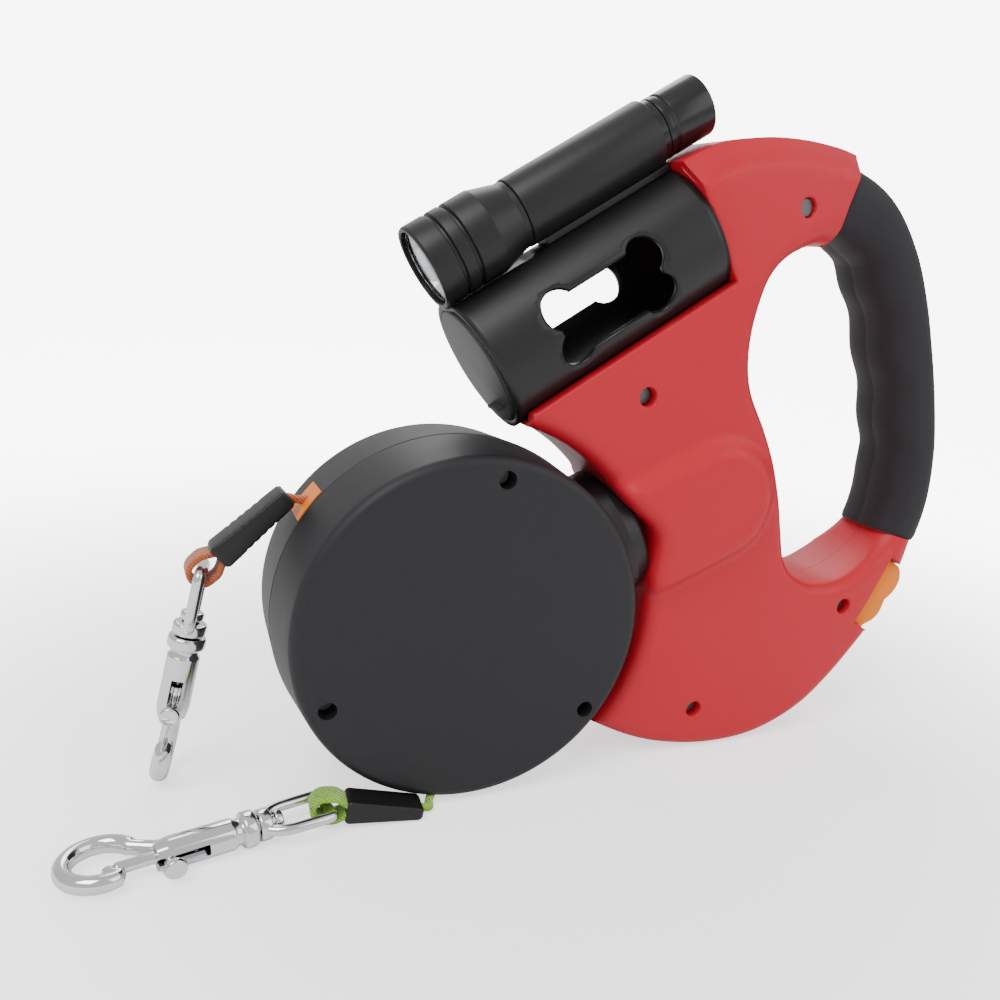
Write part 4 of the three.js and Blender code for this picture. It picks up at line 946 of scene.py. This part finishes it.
# ---------- leads and snap hooks ----------
def basis(origin, along, across):
    """A frame in millimetres from the floor frame: x along the piece, y near the hint."""
    x = Vector(along).normalized()
    z = x.cross(Vector(across)).normalized()
    y = z.cross(x)
    local = Matrix((x, y, z)).transposed().to_4x4()
    return FLOOR_FRAME @ Matrix.Translation(Vector(origin)) @ local


def eye_path():
    """The D-shaped eye's centre line, with each corner as a short curve."""
    corners = [(0, -6.3), (0, 6.3), (14.2, 6.2), (17.6, 3.2), (17.6, -3.2), (14.2, -6.2)]
    corners = [np.array(p, float) for p in corners]
    out = []
    for i, reach in enumerate((1.8, 1.8, 4.0, 2.0, 2.0, 4.0)):
        p = corners[i]
        a, b = corners[i - 1] - p, corners[(i + 1) % len(corners)] - p
        a, b = a / np.linalg.norm(a), b / np.linalg.norm(b)
        for t in np.linspace(0, 1, 8):
            out.append((1 - t) ** 2 * (p + a * reach) + 2 * t * (1 - t) * p + t * t * (p + b * reach))
    return [(x, y, 0) for x, y in out]


def snap_barrel():
    """The turned part of a snap, from the stem in its eye to the slot."""
    outline = [(0, 12.8), (3.1, 12.8), (3.1, 15.0), (1.9, 15.1), (1.9, 20.1), (5.1, 20.1), (5.1, 23.4),
               (3.7, 24.4), (3.7, 25.3), (SNAP_R, 26.4), (SNAP_R, SLOT_FROM)]
    return turned(rounded(outline, {1: 0.8, 2: 0.5, 5: 1.0, 6: 1.0, 9: 0.8}), "x", 48)


def slotted_barrel(rows=26, cols=32):
    """The barrel's far end: an outer and an inner skin, open along the side where the knob slides."""
    points, faces = [], []
    for r, taper in ((SNAP_R, NOSE_TAPER), (SNAP_BORE, 0.0)):
        for i in range(rows + 1):
            x = SLOT_FROM + (SLOT_TO - SLOT_FROM) * i / rows
            skin = r - taper * max(0.0, (x - NOSE_FROM) / NOSE_LENGTH)
            for k in range(cols + 1):
                a = SLOT_OPEN + (2 * pi - 2 * SLOT_OPEN) * k / cols
                points.append((x, -skin * cos(a), skin * sin(a)))
    row = cols + 1
    inner = (rows + 1) * row
    for i in range(rows):
        for k in range(cols):
            a = i * row + k
            b = inner + a
            faces.append((a, a + row, a + row + 1, a + 1))
            faces.append((b, b + 1, b + row + 1, b + row))
        for a in (i * row, i * row + cols):
            faces.append((a, a + row, inner + a + row, inner + a))
    for i in (0, rows):
        for k in range(cols):
            a = i * row + k
            faces.append((a, a + 1, inner + a + 1, inner + a))
    return points, faces


def hook_section(t):
    """The hook's bar: thinner where it leaves the barrel, and narrowing at the gate."""
    bar = HOOK_BAR - 0.35 * max(0.0, t - 0.85) / 0.15 if t > 0.05 else HOOK_ROOT
    return circle(bar, 20, 1.12)


def snap_hook():
    path = [(41.5, 3.0, 0), (43.5, 3.6, 0), (45.6, 4.6, 0)]
    start, stop = radians(158), radians(-112)
    for t in np.linspace(0, 1, 60):
        a = start + (stop - start) * t
        path.append((HOOK_MID[0] + HOOK_R * cos(a), HOOK_MID[1] + HOOK_R * sin(a), 0))
    path += [(56.6, -2.2, 0), (56.3, -0.6, 0)]
    return swept(path, hook_section, (0, 0, 1))


def snap_bolt():
    """The sliding pin, its post and the round knob."""
    pin = turned(rounded([(0, 36), (1.65, 36), (1.65, 55.2), (0, 55.2)], {1: 0.5, 2: 0.7}), "x", 32)
    post = swept([(KNOB_X, -0.6, 0), (KNOB_X, -6.4, 0)], circle(1.15, 20), (1, 0, 0))
    knob = [(0, -8.5), (2.6, -8.5), (2.95, -7.4), (2.3, -5.9), (0, -5.9)]
    points, faces = turned(rounded(knob, {1: 0.6, 2: 0.8, 3: 0.6}), "y", 32)
    return joined(pin, post, (shift(points, x=KNOB_X), faces))


def build_snap(name, matrix):
    eye = swept(eye_path(), circle(EYE_BAR_R, 20), (0, 0, 1), closed_path=True)
    collar = [(2.35, 16.2), (4.5, 16.2), (4.5, 19.6), (2.35, 19.6), (2.35, 16.2)]
    collar = turned(rounded(collar, {1: 0.7, 2: 0.7}), "x", 48)
    piece(f"{name}_eye_bar", *joined(eye, collar), matrix, f"{name}_eye", "chrome", [f"{name}_snap_eye"])
    body = joined(snap_barrel(), slotted_barrel(), snap_hook())
    piece(f"{name}_hook", *body, matrix, f"{name}_snap", "chrome", [f"{name}_snap_body"], 45)
    piece(f"{name}_trigger", *snap_bolt(), matrix, f"{name}_bolt", "chrome", [f"{name}_snap_bolt"])


def build_block(name, tip, start, matrix, ribs):
    """The hard wedge over the seam where the lead is sewn to its loop, from its thin tip to its mouth."""
    points, steps = [], 30
    for k in range(steps + 1):
        t = k / steps
        high_z = tip + (3.6 - tip) * t
        shrink = 0.5 * max(0.0, 1 - min(t, 1 - t) * BLOCK_LENGTH / 0.8)
        rib = 0.22 if ribs and 0.2 < t < 0.8 and k % 3 == 0 else 0.0
        ring = rounded_box(4.8 - shrink, high_z - shrink - rib, min(0.8, high_z * 0.4))
        points += [(start + t * (BLOCK_LENGTH - start), a, b) for a, b in ring]
    n = len(points) // (steps + 1)
    faces = bands(steps + 1, n) + caps(steps + 1, n)
    piece(f"{name}_block", points, faces, matrix, f"{name}_line", "black_plastic",
          [f"{name}_stop_block"], 40)


def strap_path():
    """The loop's centre line: out of the block, round the eye's bar and back."""
    bar = BLOCK_LENGTH + EYE_GAP + 0.4
    flank = [(BLOCK_LENGTH - 1.2, 1.0), (BLOCK_LENGTH + 1.0, 2.4), (BLOCK_LENGTH + 3.2, STRAP_REACH)]
    path = [(x, 0, -z) for x, z in flank]
    for degrees in np.linspace(-90, 90, 22):
        a = radians(degrees)
        path.append((bar + STRAP_REACH * cos(a), 0, STRAP_REACH * sin(a)))
    return catmull(path + [(x, 0, z) for x, z in reversed(flank)], 4)


def build_lead(name, matrix, route):
    """The round lead from inside the case to the block, and the woven loop round the eye's bar."""
    inverse = matrix.inverted() @ FLOOR_FRAME
    path = [tuple(inverse @ Vector(p)) for p in route] + [(-2.5, 0, 0), (0.5, 0, 0), (3, 0, 0)]
    rope = swept(catmull(path, 12), circle(LEAD_R, 16))
    strap = swept(strap_path(), [(b, a) for a, b in rounded_box(STRAP_HALF, STRAP_THICK, 0.6)])
    made = piece(f"{name}_webbing", *joined(rope, strap), matrix, None, f"{name}_webbing",
                 [f"{name}_lead"], 50)
    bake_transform(made)


def heading(degrees):
    """A direction in the leash's mid plane, as an angle from level."""
    a = radians(degrees)
    return Vector((cos(a), 0, sin(a)))


def build_orange_lead():
    pull, along = heading(184), heading(222)
    mouth, seam = Vector((-42.6, 6.5, 87.2)), Vector((-49.9, 6.5, 86.4))
    block = basis(seam, along, (0, 1, 0))
    build_block("orange", 2.6, -3.6, block, True)
    route = [mouth - pull * back for back in (22, 12, 4, -1)]
    build_lead("orange", block, route)
    bar = seam + along * (BLOCK_LENGTH + EYE_GAP)
    build_snap("orange", basis(bar, (-0.225, 0.03, -1), (0.2, 0.98, 0)))


def build_green_lead():
    along, seam = Vector((-1, 0.11, 0.145)).normalized(), Vector((-16, -28, 2.05))
    block = basis(seam, along, (0, 1, 0))
    build_block("green", 1.9, 0.0, block, False)
    route = [(8, -17.5, 5.6), (0, -17.5, 5.3), (-6, -18.3, 3.6), (-10, -21, 2.2), (-12.6, -25.2, 1.9)]
    build_lead("green", block, route)
    bar = seam + along * (BLOCK_LENGTH + EYE_GAP)
    build_snap("green", basis(bar, (-0.98, -0.19, -0.032), (-0.19, 0.98, 0)))


# ---------- stage ----------
def floor_paint():
    """Painted light on a pale floor: a camera-only glow, weaker near the leash so that shade is painted
    there.
    """
    s = Shader("floor_paint")
    s.set(Base_Color=(0.92, 0.92, 0.92, 1), Roughness=0.8, Specular_IOR_Level=0.2)
    span = s.node("ShaderNodeVectorMath", operation="LENGTH")
    s.link(s.coordinates(), span.inputs[0])
    # painted glow: weakest near the leash, where it leaves painted shade, strongest far from it
    glow = s.node("ShaderNodeMapRange", interpolation_type="SMOOTHSTEP")
    limits = {"From Min": GLOW_NEAR, "From Max": GLOW_FAR, "To Min": GLOW_LOW, "To Max": GLOW_HIGH}
    for socket, value in limits.items():
        glow.inputs[socket].default_value = value
    s.link(span.outputs["Value"], glow.inputs["Value"])
    seen = s.node("ShaderNodeMath", operation="MULTIPLY")
    s.link(s.node("ShaderNodeLightPath").outputs["Is Camera Ray"], seen.inputs[0])
    s.link(glow.outputs["Result"], seen.inputs[1])
    s.set(Emission_Color=(1, 1, 1, 1))
    s.link(seen.outputs[0], s.shader.inputs["Emission Strength"])
    return s.material


def build_floor():
    """A level floor that curves up behind the leash, in metres."""
    half, front, bend, bend_r, rear, top = 4.0, -2.6, 1.4, 0.9, 2.3, 3.2
    rows = [(front, 0.0), (bend, 0.0)]
    rows += [(bend + bend_r * sin(a), bend_r - bend_r * cos(a)) for a in np.linspace(0.1, 1.57, 16)]
    rows.append((rear, top))
    verts = [(x, y, z) for y, z in rows for x in (-half, half)]
    faces = [(2 * i, 2 * i + 1, 2 * i + 3, 2 * i + 2) for i in range(len(rows) - 1)]
    mesh = bpy.data.meshes.new("floor")
    mesh.from_pydata(verts, [], faces)
    mesh.shade_smooth()
    mesh.materials.append(floor_paint())
    floor = bpy.data.objects.new("floor", mesh)
    bpy.context.scene.collection.objects.link(floor)


def build_light():
    world = bpy.data.worlds.new("studio")
    bpy.context.scene.world = world
    world.use_nodes = True
    background = world.node_tree.nodes["Background"]
    background.inputs["Color"].default_value = (1, 1, 1, 1)
    background.inputs["Strength"].default_value = 0.75
    middle = (size_before[0] + size_before[1]) / 2
    for name, place, size, power in (
        ("key", (-0.75, -0.55, 1.25), 0.9, 16.0),
        ("fill", (0.95, -0.9, 0.75), 1.1, 6.0),
        ("rim", (0.35, 1.1, 1.0), 0.9, 9.0),
    ):
        lamp = bpy.data.lights.new(name, "AREA")
        lamp.size = size
        lamp.energy = power
        holder = bpy.data.objects.new(name, lamp)
        holder.location = middle + Vector(place)
        holder.rotation_euler = (middle - holder.location).to_track_quat("-Z", "Y").to_euler()
        bpy.context.scene.collection.objects.link(holder)


def build_camera():
    """A camera a little left of the reel and above it, turned to the right and tipped down."""
    data = bpy.data.cameras.new("camera")
    data.lens, data.sensor_width = 33.69, 36
    data.shift_x, data.shift_y = -0.0892, 0.0994
    data.clip_start = 0.01
    camera = bpy.data.objects.new("camera", data)
    bpy.context.scene.collection.objects.link(camera)
    place = Vector((-91.3, -259.3, 156.9))
    right, down = Vector((0.892, -0.443, 0.095)), Vector((-0.069, -0.340, -0.938))
    right.normalize()
    down = (down - right * down.dot(right)).normalized()
    forward = right.cross(down)
    turn = Matrix((right, -down, -forward)).transposed().to_4x4()
    camera.matrix_world = Matrix.Translation(FLOOR_FRAME @ place) @ turn
    bpy.context.scene.camera = camera


# ---------- assembly ----------
def paint_frame():
    """Gives each CAD mesh the material that its slot names."""
    for row in frame["record"]["subparts"]:
        shown = frame["nodes"][row["node"]]
        shown.data.materials.clear()
        shown.data.materials.append(MATERIALS[row["material_slot"]])


paint_frame()
build_shells()
build_grip()
build_tube()
build_cap()
build_torch_head()
build_cradle()
build_torch_barrel()
build_torch_optics()
build_torch_switch()
build_reel()
build_neck()
build_buttons()
build_orange_lead()
build_green_lead()
build_floor()
build_light()
build_camera()
